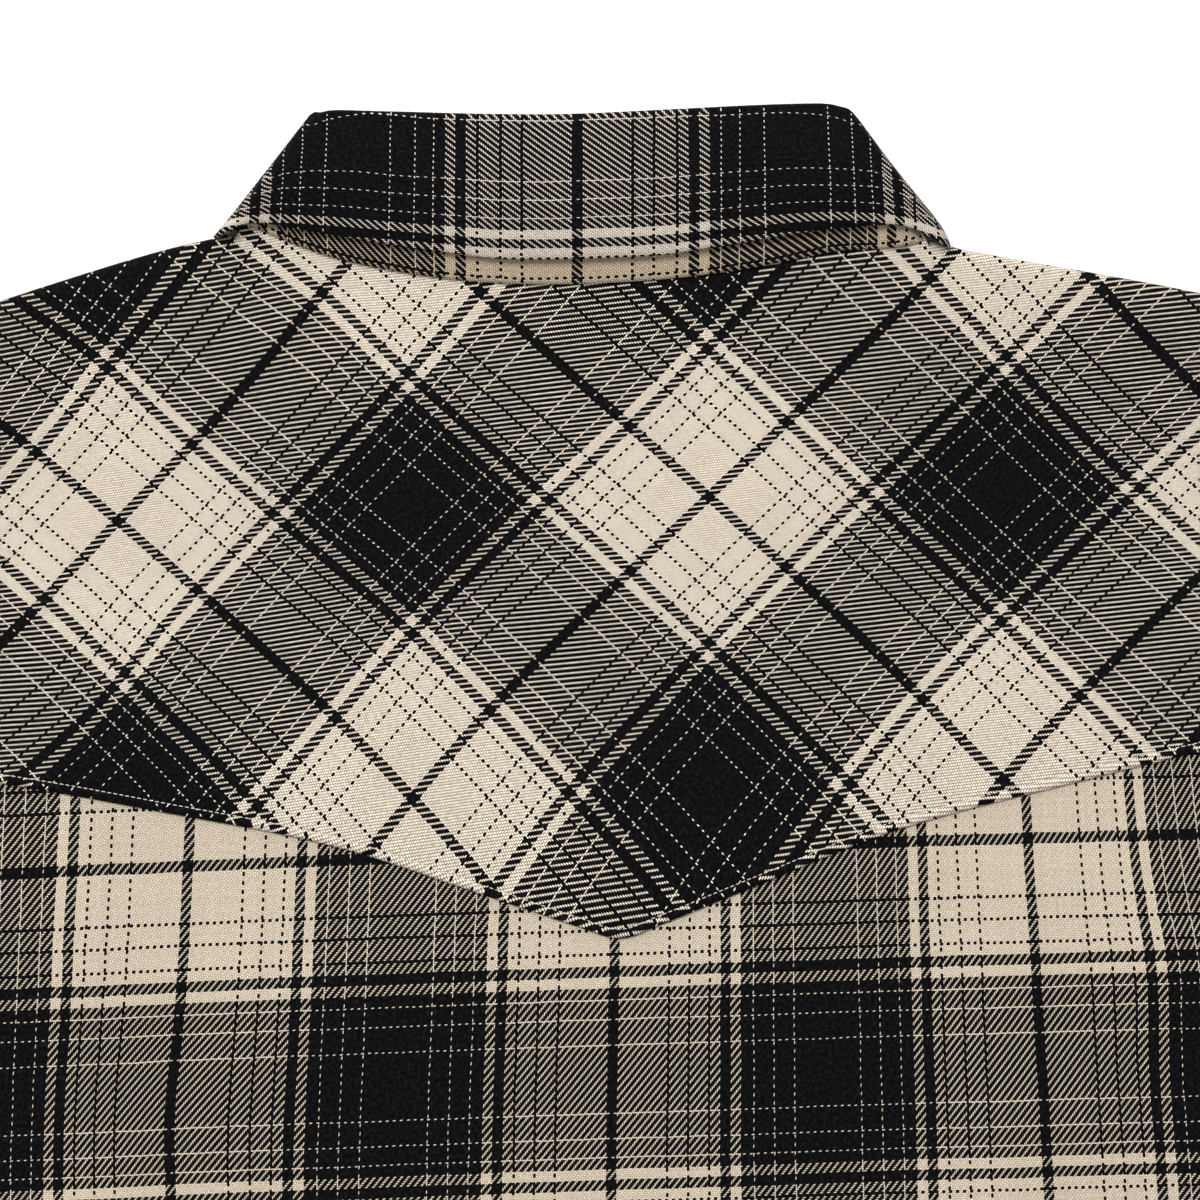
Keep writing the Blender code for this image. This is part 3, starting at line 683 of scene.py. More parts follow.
yoke = {
    "cut": (0.48, 0.26),
    "edge": ((0, -204.6), (12, -200.9), (42, -189.8), (88, -173.3), (145, -160.1), (184, -151.9),
             (236, -143.0)),
    "neck": ((0, 4.0), (30, 4.5), (50, 7.0), (70, 10.3), (86, 13.9), (98, 17.2), (104, 18.0),
             (107, 16.5), (109, 11.5)),
    "shoulder": ((109, 14.0), (118, 12.2), (134, 8.9), (170, 0.2), (187, -4.2), (236, -17.0)),
    "corner": 109.0,
    "width": 235.0,
    "lap": 12.0,  # the back runs this far up under it
    "rise": 1.4,  # its edge lies this much above the back
    "neckHeight": 6.1,
    "shoulderHeight": 5.0,
    "fold": 22.0,  # and it runs this far down the front
    "slant": 0.94,  # distance from its edge, for each millimetre up
    "stitchIn": 2.4,
    "stitch": 1.9,
    "check": {"middle": (32.2, -68.0), "across": 92.2, "down": 91.2},
}


def makeBack():
    across = np.linspace(-1, 1, 211)
    topEdge = yoke["edge"][-1][1] + yoke["lap"]
    hemX, hemY = backPanel["hem"][-1]
    # rows close up towards the hem
    down = np.concatenate([np.linspace(0, 0.97, 205), 1 - 0.03 * (1 - np.linspace(0, 1, 14)[1:]) ** 1.5])
    across, down = np.meshgrid(across, down)
    low = curve(backPanel["hem"], np.abs(across) * hemX)
    high = curve(yoke["edge"], np.abs(across) * outline(yoke["edge"][-1][1])) + yoke["lap"]
    wide = outline(mix(topEdge, hemY, down))
    x = across * wide
    y = mix(high, low, down)
    z = backHeight(x, y) + swell(x, y)
    # the side seam and the hem come down to the fronts
    underarm = backPanel["armhole"][0][0]
    seam = bell(wide * (1 - np.abs(across)) / 7) * smooth((underarm - 3 - y) / 12)
    hem = bell((y - low) / 6)
    z = mix(z, backPanel["sewn"] + cloth["overPlacket"] * bell(x / 60), np.maximum(seam, hem) * 0.9)
    z = z - 0.28 * bell((y - low - backPanel["hemDepth"]) / 0.9)
    points = inOrder(x, y, z)
    makeCloth("backPanel", "body_flannel", [(points, backThreads(x, y))], cloth["wall"], "back",
              backPanel["cut"])
    return [points[-1] + (0, backPanel["hemDepth"], 0.15)]


def topHeight(x):
    return mix(yoke["neckHeight"], yoke["shoulderHeight"], smooth((np.abs(x) - 96) / 50))


def shoulderRadius(x):
    y = curve(yoke["shoulder"], np.abs(x))
    return (topHeight(x) - cloth["rest"] - leafLift(x, y)) / 2


def yokeTop(x):
    shoulder = curve(yoke["shoulder"], np.abs(x)) - cloth["rest"] - shoulderRadius(x)
    return np.where(np.abs(x) < yoke["corner"], curve(yoke["neck"], np.abs(x)), shoulder)


def yokeThreads(x, y, beyond=0.0):
    # the bias lets the checks lean and close up a little where the cloth was pulled
    check = yoke["check"]
    x, y = evenly("yoke", *moved(x, y))
    across = (x - check["middle"][0]) / check["across"]
    down = (check["middle"][1] - y) / check["down"]
    leaning = 0.034 + 0.022 * across + (0.014 - 0.025 * across) * down - 0.02 * down ** 2
    right = 0.997 * across + down * leaning
    below = 1.06 * down + 0.0145 * down ** 2 - 0.071 * down ** 3 - 0.005 * across ** 2
    below = below - beyond / check["down"]
    return inOrder(yarn["warpTurn"] * (right + below), yarn["weftTurn"] * (right - below))


def yokeHeight(x, y, low, high, at):
    # it lies on the back at its edge, and rises from there to the neck and the shoulders
    lap = yoke["rise"] * (1 - smooth((y - low - yoke["lap"] - 2) / 60))
    return mix(backHeight(x, y) + lap, topHeight(at), bell((high - y) / 34)) + swell(x, y)


def yokeGrid(across, up):
    at = across * yoke["width"]
    lowSide = yoke["edge"][-1][1]
    wide = outline(mix(lowSide, yokeTop(np.array(yoke["width"])), up))
    x = across * wide
    low = curve(yoke["edge"], np.abs(across) * outline(lowSide))
    high = yokeTop(at)
    y = mix(low, high, up)
    z = yokeHeight(x, y, low, high, at)
    # turned edge: a soft groove under the stitches, a ridge, and a rounded rim
    inward = (y - low) * yoke["slant"]
    z = z - 0.30 * bell((inward - yoke["stitchIn"]) / 0.55) + 0.16 * bell((inward - 1.1) / 0.7)
    z = z - 0.5 * rim(inward, 0.9)
    # puckers that the stitches draw in
    pull = np.sin(x / 2.9 + 1.4 * np.sin(x / 11.0)) * (0.6 + 0.4 * np.sin(x / 23.0 + 1.0))
    z = z + 0.07 * pull * np.exp(-np.abs(inward - 3.0) / 6.0)
    return x, y, z


def makeYoke():
    inner = np.linspace(0, yoke["corner"], 52)
    outer = np.linspace(yoke["corner"], yoke["width"], 60)
    half = np.concatenate([inner, outer[1:]]) / yoke["width"]
    across = np.concatenate([-half[:0:-1], half])
    up = np.concatenate([np.linspace(0, 6, 17) / 200, np.linspace(6, 200, 98)[1:] / 200])
    x, y, z = yokeGrid(*np.meshgrid(across, up))
    grids = [(inOrder(x, y, z), yokeThreads(x, y))]
    # over the shoulder and down to the seam on the front
    arcs = 10
    row = np.arange(2 * arcs + 1)[:, None]
    at = np.broadcast_to(outer, (len(row), len(outer)))
    radius = shoulderRadius(at)
    middle = topHeight(at) - radius
    start = yokeTop(at)
    turn = math.pi * np.minimum(row / arcs, 1.0)
    fall = yoke["fold"] * np.maximum(row - arcs, 0) / arcs
    xTop = at * outline(yokeTop(np.array(yoke["width"]))) / yoke["width"]
    y = start + radius * np.sin(turn) * (row <= arcs) - fall
    share = (at - yoke["corner"]) / (yoke["width"] - yoke["corner"])
    xLow = mix(frontNeckX(yokeTop(np.array(yoke["corner"])) - fall), outline(y), share)
    x = np.where(row <= arcs, xTop, xLow)
    z = np.where(row <= arcs, middle + radius * np.cos(turn), frontHeight(x, y))
    beyond = radius * (turn - np.sin(turn)) + 2 * fall
    for side in (1, -1):
        points = inOrder(side * x, y, z)
        grids.append((points[:, ::side], yokeThreads(side * x, y, beyond)[:, ::side]))
    makeCloth("backYoke", "yoke_flannel", grids, cloth["wall"], "back_yoke",
              yoke["cut"])
    # topstitching along the turned edge
    across = np.linspace(-1, 1, 900)
    low = curve(yoke["edge"], np.abs(across) * outline(yoke["edge"][-1][1]))
    up = yoke["stitchIn"] / yoke["slant"] / (yokeTop(across * yoke["width"]) - low)
    x, y, z = yokeGrid(across, up)
    return [inOrder(x, y, z + cloth["wall"] / 2 + 0.02)]


# Fronts and placket.

front = {
    "cut": (0.3, 0.75),
    "edges": {-1: -9.6, 1: -9.0},  # x of each front's free edge
    "placketCut": (0.036, 0.7),
    "placketHalf": 17.5,
    "placketWall": 1.3,
    "placketHeight": 2.5,
    "placketStitchIn": 5.0,
    "stitch": 2.2,
    "firstYarns": (20, 0),  # warp and weft yarn where the counting begins
}


def quarter(share):
    # a quarter circle of radius 1: 1 at its middle, 0 at its end
    return np.sqrt(np.maximum(1 - np.square(share), 0))


frontNeck = {"half": collar["seamHalf"] + 1.6, "drop": collar["neckDrop"] + 0.9}


def frontNeckX(y):
    return frontNeck["half"] * quarter((collar["sideNeck"] - y) / frontNeck["drop"])


def frontNeckY(x):
    return collar["sideNeck"] - frontNeck["drop"] * quarter(x / frontNeck["half"])


def shoulderSeam(at):
    return curve(yoke["shoulder"], np.abs(at)) - cloth["rest"] - shoulderRadius(at) - yoke["fold"]


def makeFront(name, node, side):
    cornerY = float(shoulderSeam(np.array(yoke["corner"]))) - cloth["seam"]
    cornerX = float(frontNeckX(cornerY))
    start = side * front["edges"][side]
    neck = start + (cornerX - start) * np.sin(np.linspace(0, math.pi / 2, 27))
    share = np.linspace(0, 1, 36)[1:]
    at = mix(yoke["corner"], yoke["width"], share)
    seam = shoulderSeam(at) - cloth["seam"]
    topX = np.concatenate([neck, mix(cornerX, outline(seam), share)])
    topY = np.concatenate([frontNeckY(neck), seam])
    across = (topX - start) / (topX[-1] - start)
    hemX, hemY = backPanel["hem"][-1]
    down = np.linspace(0, 1, 170)[:, None]
    low = curve(backPanel["hem"], np.abs(mix(start, hemX, across)))
    x = mix(start, outline(mix(topY[-1], hemY, down)), across)
    y = mix(topY, low, down)
    z = frontHeight(x, y)
    threads = counted(side * x, y - backCheck["crossStripe"]) + front["firstYarns"]
    points = inOrder(side * x, y, z)[:, ::side]
    makeCloth(name, "body_flannel", [(points, threads[:, ::side])], cloth["wall"], node,
              front["cut"])


def biasThreads(across, along):
    return counted((across + along) / 1.414, (across - along) / 1.414)


def makePlacket():
    half = front["placketHalf"]
    height = front["placketHeight"]
    stitched = half - front["placketStitchIn"]
    x = np.linspace(-half, half, 27)
    down = np.linspace(0, 1, 240)[:, None]
    top = collar["sideNeck"] - frontNeck["drop"]
    y = mix(top, curve(backPanel["hem"], np.abs(x)), down)
    z = height + 0.25 * bell((np.abs(x) - stitched) / 0.7)
    points = inOrder(x, y, z)
    makeCloth("frontPlacket", "yoke_flannel", [(points[:, ::-1], biasThreads(x, y)[:, ::-1])],
              front["placketWall"], "front_placket", front["placketCut"])
    return [inOrder(edge * stitched, y[:, 13], height - 0.5) for edge in (-1, 1)]


# Collar: the stand and the fall are flattened loops round the neck.

collarCheck = {
    "pivot": (-0.5, 32.3, 0.032),  # x of the dark stripe's middle, at a height, and its lean
    "pitch": 0.6656,
    "closing": 5.4e-6,  # the checks close up a little towards the sides
    "top": 105.0,  # warp yarn at the fold
    # and what it gains towards each end
    "topEnds": {-1: ((0, 0), (45, 0.3), (66, 2.0), (76, -2.5), (84, -9.0), (88, -15.0)),
                1: ((0, 0), (45, -1.5), (66, -2.0), (76, -4.5), (84, -9.0), (88, -14.0))},
    "down": (87.0, 3.8),  # yarns from there to the fall's edge at centre back
    # yarns that the edge lost, out to its ends
    "lost": ((0, 0), (40, 2.0), (80, 8.0), (98, 12.5), (106, 12.5), (114, 8.0)),
    "flare": 2.2,  # mm that the checks spread towards the edge, near the ends
    "seam": -29.9,  # warp yarn at the neck seam
}

# Columns of points run from the left front, over an arc at the side, round the back and on to the
# right front. Shares run from 0 to 1: along the front to the arc, round the arc from below, and
# along the back from its middle to the arc.
columnCounts = {"front": 16, "arc": 18, "back": 62}
middleColumn = sum(columnCounts.values())
column = np.arange(2 * middleColumn + 1)
sides = np.where(column > middleColumn, 1, -1)
fromEnd = middleColumn - np.abs(column - middleColumn)
fromArc = fromEnd - columnCounts["front"]
fromBack = fromArc - columnCounts["arc"]
onFront = fromArc < 0
onArc = (fromArc >= 0) & (fromBack < 0)
onBack = fromBack >= 0
shares = np.select([onFront, onArc], [fromEnd / columnCounts["front"], fromArc / columnCounts["arc"]],
                   1 - fromBack / columnCounts["back"])
underArc = onArc & (shares < 0.5)
turns = math.pi * shares
# how much each column belongs to the collar's ends: none at centre back and in front
ends = np.select([onFront, underArc, onArc], [0.0, np.sin(turns), 1.0], smooth((shares - 0.6) / 0.4))


def bySide(values):
    return np.array([values[side] for side in sides])


def loop(half, radius, middle, end, backY, sideY, frontY, rounded=False):
    # points of a flattened loop, and how far round it each one is from centre back
    flat = half - radius
    toSide = np.sin(turns)
    x = np.select([onFront, onArc], [mix(end, flat, shares), flat + radius * toSide], flat * shares)
    z = np.select([onFront, onArc], [middle - radius, middle - radius * np.cos(turns)], middle + radius)
    arcRun = flat + radius * (math.pi - turns)
    around = np.select([onFront, onArc], [2 * flat - x + math.pi * radius, arcRun], x)
    y = np.where(underArc, frontY(flat), backY(flat))
    if rounded:
        upper = onArc & (shares > 0.5)
        slope = backY(flat) - backY(flat - 1)
        y = y + slope * (radius + 2 * collar["roll"]) * toSide * upper
        toSide = np.where(upper, toSide ** collar["corner"], toSide)
    y = np.select([onFront, onArc], [frontY(x), mix(y, sideY, toSide)], backY(x))
    return inOrder(sides * x, y, z), sides * around


def standLoops(end):
    roll = collar["roll"] + collar["halfBand"]
    drop = collar["sideFold"] - collar["frontFold"]
    rise, far, power = collar["neckCurve"]
    seam, seamAround = loop(
        collar["seamHalf"], collar["standRadius"], collar["standMiddle"], end,
        lambda x: rise * (np.abs(x) / far) ** power, collar["sideNeck"],
        lambda x: collar["sideNeck"] - collar["neckDrop"] * quarter(x / collar["seamHalf"]))
    sagged = np.where(onBack, smooth((np.abs(seam[:, 0]) - 76) / 26), ends)
    seam[:, 1] -= bySide(collar["sag"]) * sagged
    fold, foldAround = loop(
        collar["foldHalf"], collar["standRadius"], collar["standMiddle"], end,
        lambda x: curve(collar["foldTop"], x) - roll, collar["sideFold"],
        lambda x: collar["sideFold"] - drop * quarter(x / collar["foldHalf"]), True)
    return seam, seamAround, fold, foldAround


def runAround(rows):
    # how far round the neck each point is from centre back
    steps = np.hypot(np.diff(rows[..., 0]), np.diff(rows[..., 2]))
    run = np.concatenate([np.zeros((len(rows), 1)), np.cumsum(steps, axis=1)], axis=1)
    return run - run[:, [middleColumn]]


def collarWeft(around, y):
    x0, y0, lean = collarCheck["pivot"]
    away = np.clip(around, -230, 230) - x0 - lean * (y - y0)
    return away * (1 + collarCheck["closing"] * np.square(away)) / collarCheck["pitch"]


def makeStand():
    seam, seamAround, fold, foldAround = standLoops(-collar["overlap"])
    rows = np.linspace(0, collar["standShare"], 34)[:, None]
    points = seam + (fold - seam) * rows[..., None]
    around = seamAround + (foldAround - seamAround) * rows
    up = rows * np.linalg.norm(fold - seam, axis=1)
    # the right end lies over the left one, and the back comes down to the neck seam
    over = (cloth["seam"] + 1.6) * (1 - smooth((points[..., 0] - collar["overlap"] - 1) / 9))
    points[..., 2] += np.where(onFront & (sides > 0), over, 0)
    points[..., 2] -= np.where(onBack, 1.0, ends) * collar["slope"] * (1 - smooth(up / 10))
    points[..., 2] -= 0.35 * rim(up, 1.2)
    threads = inOrder(collarCheck["seam"] - up / yarn["warpPitch"], collarWeft(around, points[..., 1]))
    # the stand takes the darker flannel: painted shade under the fall's edge
    makeCloth("collarStand", "collar_flannel", [(points, threads)], cloth["band"] - 0.1, "collar_stand",
              collar["standCut"], "standPaintedShadeFlannel")


def fallForm(row, share):
    # what the fall bulges away from a straight run between fold and edge
    dome = collar["dome"] * share ** 0.8 * (1 - share ** 3) - collar["tuck"] * share ** 4
    end, soon = collar["domeEnd"]
    back = dome * smooth((end - np.abs(row[:, 0])) / soon)
    under = -collar["arcForm"] * np.sin(2 * turns) * math.sin(math.pi * share)
    over = collar["arcForm"] * np.sin(turns) - back * np.cos(turns)
    # the ends stand out most at four fifths of the way down, where this is 1
    lowDown = 12.2 * share ** 4 * (1 - share)
    out = bySide(collar["bulge"])[:, 1] * lowDown
    form = np.zeros_like(row)
    form[:, 0] = sides * out * ends
    form[:, 2] = np.select([onFront, underArc, onArc], [0.0, under, over], back)
    return form


def makeFall():
    seam, _, fold, _ = standLoops(collar["fallFront"])
    fold[:, 0] += sides * bySide(collar["bulge"])[:, 0] * ends
    edge, _ = loop(collar["edgeHalf"], collar["edgeRadius"], collar["edgeMiddle"], collar["point"][0],
                   lambda x: curve(collar["fallEdge"], x), collar["fallSide"], leafEdge)
    tip = bySide(collar["tip"])
    edge[:, 0] += sides * tip[:, 0] * ends
    edge[:, 1] += tip[:, 1] * ends
    up = unit(fold - seam)
    out = unit(np.cross(np.gradient(fold, axis=0), up))
    # up inside, round the roll at the fold, and down outside to the edge
    roll = collar["roll"]
    bends = np.linspace(0, math.pi, 11)
    rows = [seam + (fold - seam) * share for share in (0.92, 0.96)]
    rows += [fold + out * roll * (1 - math.cos(bend)) + up * roll * math.sin(bend) for bend in bends]
    outside = fold + out * 2 * roll
    length = np.linalg.norm(edge - outside, axis=1)
    down = np.concatenate([np.linspace(0, 0.93, 40)[1:], np.linspace(0.93, 1, 9)[1:]])
    for share in down:
        row = outside + (edge - outside) * share
        row += fallForm(row, share)
        row[:, 2] -= np.sign(row[:, 2] - 5) * 0.35 * rim(length * (1 - share), 1.2)
        rows.append(row)
    points = np.array(rows)
    # yarns round the roll, then down to the edge
    fromFold = np.concatenate([[-6.4, -3.2], bends * roll - math.pi * roll]) / yarn["warpPitch"]
    fromFold = np.concatenate([fromFold, np.zeros(len(down))])[:, None]
    down = np.concatenate([np.zeros(len(rows) - len(down)), down])[:, None]
    foldX = np.abs(fold[:, 0])
    gained = {side: curve(collarCheck["topEnds"][side], foldX) for side in (-1, 1)}
    start = collarCheck["top"] + np.where(fold[:, 0] < 0, gained[-1], gained[1])
    early, late = collarCheck["down"]
    end = collarCheck["top"] + early + late - curve(collarCheck["lost"], np.abs(edge[:, 0]))
    passed = start + (end - late - start) * down + late * np.square(down)
    reach = runAround(points)
    reach = reach - collarCheck["flare"] * down * (reach / 95) ** 3
    threads = inOrder(passed + fromFold, collarWeft(reach, points[..., 1]))
    makeCloth("collarFall", "collar_flannel", [(points, threads)], cloth["band"], "collar_fall",
              collar["fallCut"])


# Sleeves, cuffs and their plackets.

sleeve = {
    "cut": (0.5, 0.62),
    "shoulder": (235.4, -17.0),
    "underarm": (286.0, -249.4),
    "topAngle": 22.0,  # degrees below the x axis, like the other angles
    "underarmAngle": 14.0,
    "chordAngle": 35.0,
    "endAngle": 46.0,
    "chord": 571.0,  # from the shoulder straight to the cuff
    "run": 585.0,  # and along the cloth
    "endWidth": 122.0,
    "handles": (190.0, 110.0),
    "height": 5.4,
    "seamHeight": (3.6, 3.3),  # along the armhole: as a rule, and at least
    "gap": (0.4, 1.0),  # from the armhole, at the shoulder and at the underarm
    "firstYarns": (0, 40),
    "folds": (
        ((292, -225), (372, -120), 15, 2.8),
        ((330, -262), (420, -178), 15, 2.2),
        ((455, -225), (515, -300), 17, 2.6),
        ((430, -315), (500, -262), 15, 2.2),
    ),
}
cuff = {
    "cut": (0.255, 0.0625),
    "length": 62.0,
    "width": 114.0,
    "height": 5.0,
    "half": 0.8,  # middle of the layer on the table
    "flap": (60.0, 82.0),  # where its two ends lie over each other
    "lead": 46.0,  # and where the upper end begins to rise
    "lift": 1.9,
    "stitchIn": (4.0, 5.0),  # from the upper seam and from the lower edge
    "stitch": 2.2,
}
flapMiddle = sum(cuff["flap"]) / 2
sleevePlacket = {
    "cut": (0.027, 0.131),
    "width": 26.0,
    "length": 130.0,
    "wall": 1.0,
    "stitchIn": 2.0,
    "firstYarns": (60, 12),
}


def heading(angle):
    return np.array((math.cos(math.radians(angle)), -math.sin(math.radians(angle))))


downArm = heading(sleeve["endAngle"])
acrossArm = np.array((downArm[1], -downArm[0]))
sleeveEnd = np.array(sleeve["shoulder"]) + heading(sleeve["chordAngle"]) * sleeve["chord"]
underarmEnd = sleeveEnd + acrossArm * sleeve["endWidth"]
cuffStart = sleeveEnd + acrossArm * (sleeve["endWidth"] - cuff["width"]) / 2 + downArm * 0.4


def sleeveEdge(start, angle, end, handle, share):
    # a curved run from the armhole to the cuff
    start = np.array(start)
    a = start + heading(angle) * handle
    b = end - downArm * handle
    share = share[..., None]
    rest = 1 - share
    return rest ** 3 * start + 3 * rest * share * (rest * a + share * b) + share ** 3 * end


def bodyTop(x, y):
    # height of the back or yoke along the armhole
    low = curve(yoke["edge"], x)
    high = yokeTop(np.array(yoke["width"]))
    return np.where(y > low, yokeHeight(x, y, low, high, x), backHeight(x, y) + swell(x, y))


def sleeveShape(around, share):
    # around runs 0 to 4: over the top, round the underarm, back below, and round the fold
    shoulder, underarm = sleeve["shoulder"], sleeve["underarm"]
    top = sleeveEdge(shoulder, sleeve["topAngle"], sleeveEnd, sleeve["handles"][0], share)
    low = sleeveEdge(underarm, sleeve["underarmAngle"], underarmEnd, sleeve["handles"][1], share)
    width = np.linalg.norm(low - top, axis=-1)
    quarterAt = np.floor(np.minimum(around, 3.999))
    part = around - quarterAt
    turn = math.pi * part
    parts = [quarterAt == 0, quarterAt == 1, quarterAt == 2]
    grown = smooth(share / 0.12)
    rest = cloth["rest"]
    usual, least = sleeve["seamHeight"]
    radius = (mix(usual, sleeve["height"], grown) - rest) / 2
    inset = (radius + rest) / width
    across = np.select(parts, [mix(inset, 1 - inset, part), 1 - inset, mix(1 - inset, inset, part)], inset)
    beyond = np.select(parts, [0.0, np.sin(turn), 0.0], -np.sin(turn)) * radius / width
    placed = (across + beyond)[..., None]
    seam = mix(np.array(shoulder), np.array(underarm), placed)
    bodyX = outline(seam[..., 1])
    spot = top + (low - top) * placed
    x = spot[..., 0] + (bodyX + mix(*sleeve["gap"], across) - seam[..., 0]) * (1 - share) ** 2.5
    y = spot[..., 1]
    height = mix(np.maximum(bodyTop(bodyX, seam[..., 1]), least), sleeve["height"], grown)
    folded = foldHeight(sleeve["folds"], x, y) + sleeveRipples(across, share)
    height = height + folded * (1 - (2 * across - 1) ** 8)
    radius = (height - rest) / 2
    z = rest + radius * np.select(parts, [2.0, 1 + np.cos(turn), 0.0], 1 - np.cos(turn))
    # yarns run on over the fold to the back, and their seam lies along the underarm
    onTop = width * across
    below = 2 * width * inset - radius * math.pi - onTop
    girth = np.select(parts, [onTop, onTop + radius * turn, below], onTop - radius * (math.pi - turn))
    return x, y, z, girth


def sleeveRipples(across, share):
    near = bell((1 - share) / 0.09)
    gathers = 0.75 * np.sin(across * 31 + 1.5 * np.sin(across * 9)) * near
    slow = 0.5 * np.sin(share * 21 + 3.0 * across) * np.sin(across * 5.0 + 4.0 * share)
    return gathers + slow * smooth(share / 0.1)


def makeSleeve(name, node, side):
    edge = np.linspace(0, 1, 12)[1:]
    around = np.concatenate([np.linspace(0, 1, 54), 1 + edge, 2 + np.linspace(0, 1, 30)[1:], 3 + edge])
    around, share = np.meshgrid(around, np.linspace(0, 1, 190) ** 1.12)
    x, y, z, girth = sleeveShape(around, share)
    z = z - 0.35 * bell(share * sleeve["chord"]) * (z > 1.2)
    threads = counted(side * girth, -share * sleeve["run"]) + sleeve["firstYarns"]
    points = inOrder(side * x, y, z)[:, ::-side]
    makeCloth(name, "body_flannel", [(points, threads[:, ::-side])], cloth["wall"], node,
              sleeve["cut"])


def cuffPath():
    # across and up, from the under end round both folds to the upper end on top of it
    radius = (cuff["height"] - cuff["half"]) / 2
    near = cuff["half"] + radius
    far = cuff["width"] - near
    first, last = cuff["flap"]
    top = cuff["height"]
    risen = cuff["lead"] + 9
    tenths = np.arange(10) / 10
    eighths = np.arange(8) / 8
    bends = math.pi * np.arange(12) / 12
    runs = (
        (mix(first, far, tenths), top),
        (far + radius * np.sin(bends), near + radius * np.cos(bends)),
        (mix(far, near, np.arange(16) / 16), cuff["half"]),
        (near - radius * np.sin(bends), near - radius * np.cos(bends)),
        (mix(near, cuff["lead"], tenths), top),
        (mix(cuff["lead"], risen, eighths), top + cuff["lift"] * smooth(eighths)),
        (mix(risen, last, np.arange(9) / 8), top + cuff["lift"]),
    )
    return np.concatenate([inOrder(*run) for run in runs])


def onArm(side, across, down):
    # a place on the cuff: across from its folded edge, down the arm from its upper seam
    across, down = np.broadcast_arrays(across, down)
    spot = cuffStart + acrossArm * across[..., None] + downArm * down[..., None]
    return side * spot[..., 0], spot[..., 1]


def makeCuff(name, node, side):
    path = cuffPath()
    down = np.linspace(0, 1, 40)[:, None] * cuff["length"]
    points = inOrder(*onArm(side, path[:, 0], down), path[:, 1])
    threads = side * biasThreads(lengths(path), -down)
    makeCloth(name, "yoke_flannel", [(points[:, ::side], threads[:, ::side])], cloth["band"], node,
              cuff["cut"])
    # topstitching on each side of the flap and on it
    top = cuff["height"] + cloth["band"] / 2 + 0.05
    lead = cuff["lead"]
    last = cuff["flap"][1]
    parts = ((6.0, lead - 1, 0.0), (lead + 9, last - 2, cuff["lift"]), (last + 1, cuff["width"] - 5, 0.0))
    runs = []
    for level in (cuff["stitchIn"][0], cuff["length"] - cuff["stitchIn"][1]):
        for start, end, lift in parts:
            x, y = onArm(side, np.linspace(start, end, 40), level)
            runs.append(inOrder(x, y, top + lift))
    return runs


def makeSleevePlacket(name, node, side):
    across = np.linspace(-0.5, 0.5, 21) * sleevePlacket["width"]
    up = np.linspace(0, 1, 70)[:, None]
    far = (sleevePlacket["length"] - 0.5 * np.abs(across)) * up
    x, y = onArm(side, flapMiddle + across, -0.9 - far)
    z = sleeve["height"] + cloth["cadWall"] / 2 + cloth["seam"] + sleevePlacket["wall"] / 2
    threads = counted(side * across, far) + sleevePlacket["firstYarns"]
    points = inOrder(x, y, z)[:, ::-side]
    makeCloth(name, "body_flannel", [(points, threads[:, ::-side])], sleevePlacket["wall"] - 0.1, node,
              sleevePlacket["cut"])
    runs = []
    for edge in (-1, 1):
        line = edge * (sleevePlacket["width"] / 2 - sleevePlacket["stitchIn"])
        x, y = onArm(side, flapMiddle + line, -2.0 - (sleevePlacket["length"] - 10) * up[:, 0])
        runs.append(inOrder(x, y, z + 0.5))
    return runs


# Snaps.

snap = {
    "height": 1.5,
    "front": (-90, -175, -260, -345, -430, -515, -600),
    "collar": (-33.0, 1.85),  # y and height
    "cuff": (18.0, 44.0),  # down the arm from the cuff's upper seam
    "sleeve": 62.0,  # and up it
    # radius from the middle and height, for the metal rim and the pearl cap that it holds
    "rim": ((5.75, 0.0), (5.75, 0.55), (5.55, 0.95), (5.1, 1.16), (4.75, 1.08), (4.6, 0.8), (4.6, 0.3)),
    "cap": ((4.68, 0.6), (4.6, 0.98), (4.1, 1.25), (3.0, 1.42), (1.6, 1.49), (0.0, 1.5)),
    "steps": 48,
}


def turnedFaces(bm, profile, index):
    # a turned profile; a corner on the axis closes it
    turned = np.arange(snap["steps"]) * 2 * math.pi / snap["steps"]
    rings = []
    for radius, height in profile:
        around = turned if radius else turned[:1]
        corners = inOrder(radius * np.cos(around), radius * np.sin(around), height) * mm
        rings.append([bm.verts.new(corner) for corner in corners])
    for low, high in zip(rings, rings[1:]):
        for n in range(snap["steps"]):
            m = (n + 1) % snap["steps"]
            corners = (low[n], low[m], high[m], high[n]) if len(high) > 1 else (low[n], low[m], high[0])
            bm.faces.new(corners).material_index = index
    return rings


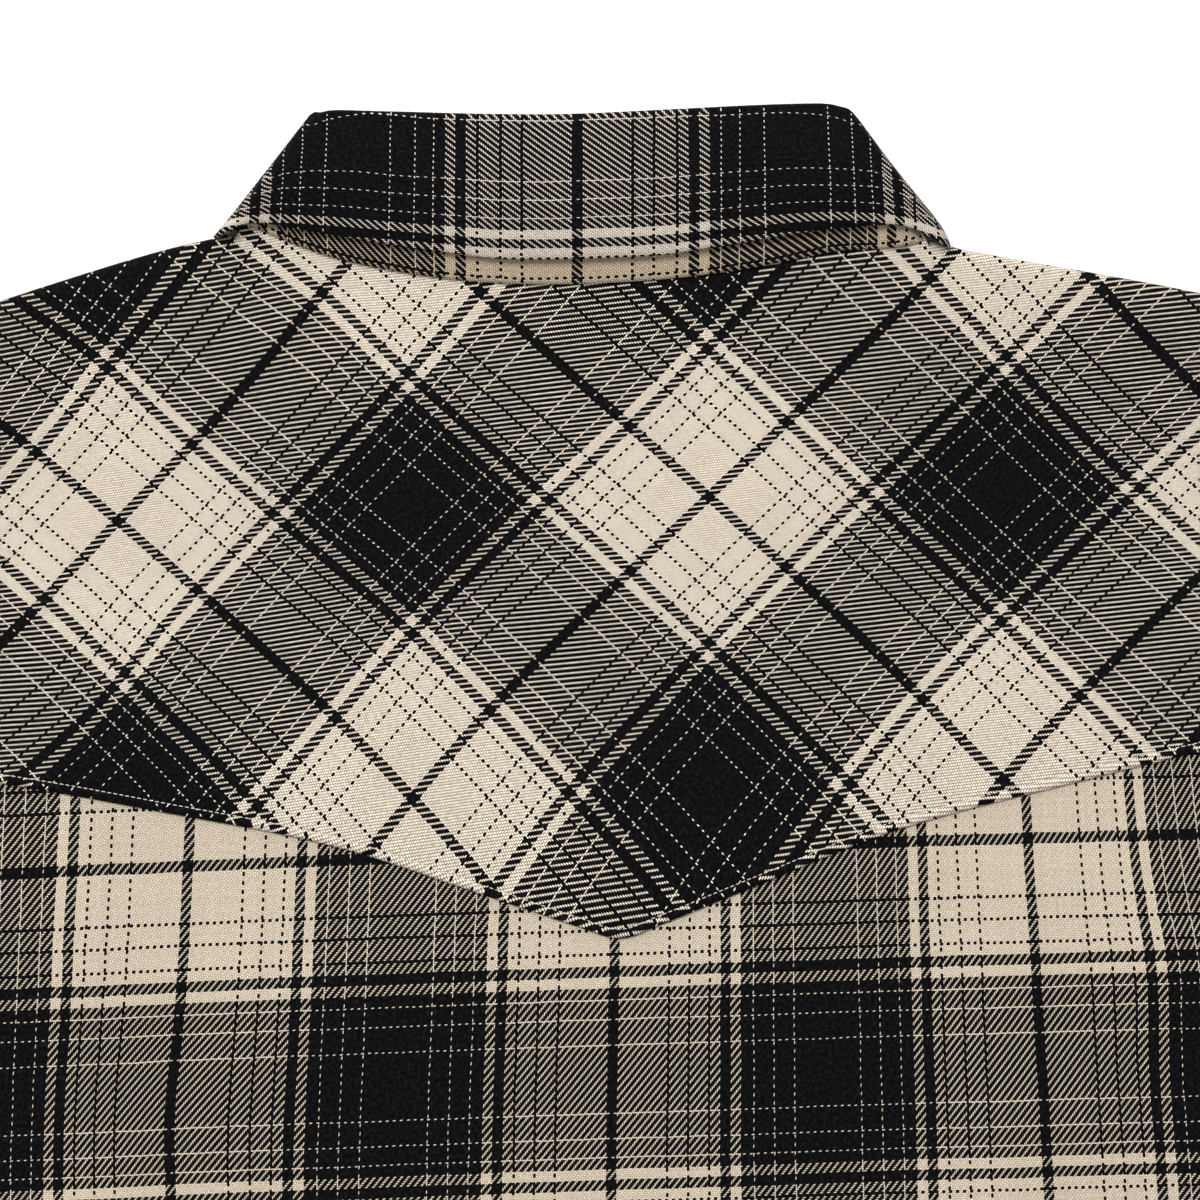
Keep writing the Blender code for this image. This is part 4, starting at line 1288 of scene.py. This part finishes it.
def makeSnapMesh():
    mesh = bpy.data.meshes.new("snapCap")
    bm = bmesh.new()
    rim = turnedFaces(bm, snap["rim"], 0)
    bm.faces.new(list(reversed(rim[0]))).material_index = 0
    turnedFaces(bm, snap["cap"], 1)
    bm.to_mesh(mesh)
    bm.free()
    mesh.shade_smooth()
    mesh.materials.append(metalFinish)
    mesh.materials.append(pearlFinish)
    return mesh


def placeSnap(mesh, node, x, y, z, facesDown=False):
    place = laid(np.array((float(x), float(y), z))).tolist()
    turned = math.pi if facesDown else 0.0
    piece = addedPiece(f"snap_{node[5:]}_cap", mesh, place, turned)
    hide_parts(node)


def makeSnaps():
    mesh = makeSnapMesh()
    for number, y in enumerate(snap["front"], 1):
        placeSnap(mesh, f"snap_front_{number}", 0.0, y, snap["height"], True)
    y, height = snap["collar"]
    placeSnap(mesh, "snap_collar", 0.0, y, height, True)
    onCuff = cuff["height"] + cuff["lift"] + cuff["half"] + cloth["seam"]
    onPlacket = sleeve["height"] + cloth["cadWall"] / 2 + 2 * cloth["seam"] + sleevePlacket["wall"]
    for side, word in words.items():
        for number, down in enumerate(snap["cuff"], 1):
            x, y = onArm(side, flapMiddle, down)
            placeSnap(mesh, f"snap_cuff_{word.lower()}_{number}", x, y, onCuff)
        x, y = onArm(side, flapMiddle, -snap["sleeve"])
        placeSnap(mesh, f"snap_sleeve_{word.lower()}", x, y, onPlacket)


# Making it all.

bpy.context.view_layer.update()
words = {-1: "Left", 1: "Right"}
for side, word in words.items():
    makeFront(f"front{word}", f"front_{word.lower()}", side)
hemRuns = makeBack()
yokeRuns = makeYoke()
print("body made")
makeStand()
makeFall()
print("collar made")
placketRuns = makePlacket()
armRuns = []
for side, word in words.items():
    makeSleeve(f"sleeve{word}", f"sleeve_{word.lower()}", side)
    armRuns += makeCuff(f"cuff{word}", f"cuff_{word.lower()}", side)
    armRuns += makeSleevePlacket(f"sleevePlacket{word}", f"sleeve_placket_{word.lower()}", side)
print("sleeves made")
sewStitches("yokeTopstitching", yokeRuns, yoke["stitch"])
sewStitches("hemTopstitching", hemRuns, backPanel["stitch"])
sewStitches("placketTopstitching", placketRuns, front["stitch"])
sewStitches("cuffTopstitching", armRuns, cuff["stitch"])
makeSnaps()
print("stitches and snaps made")
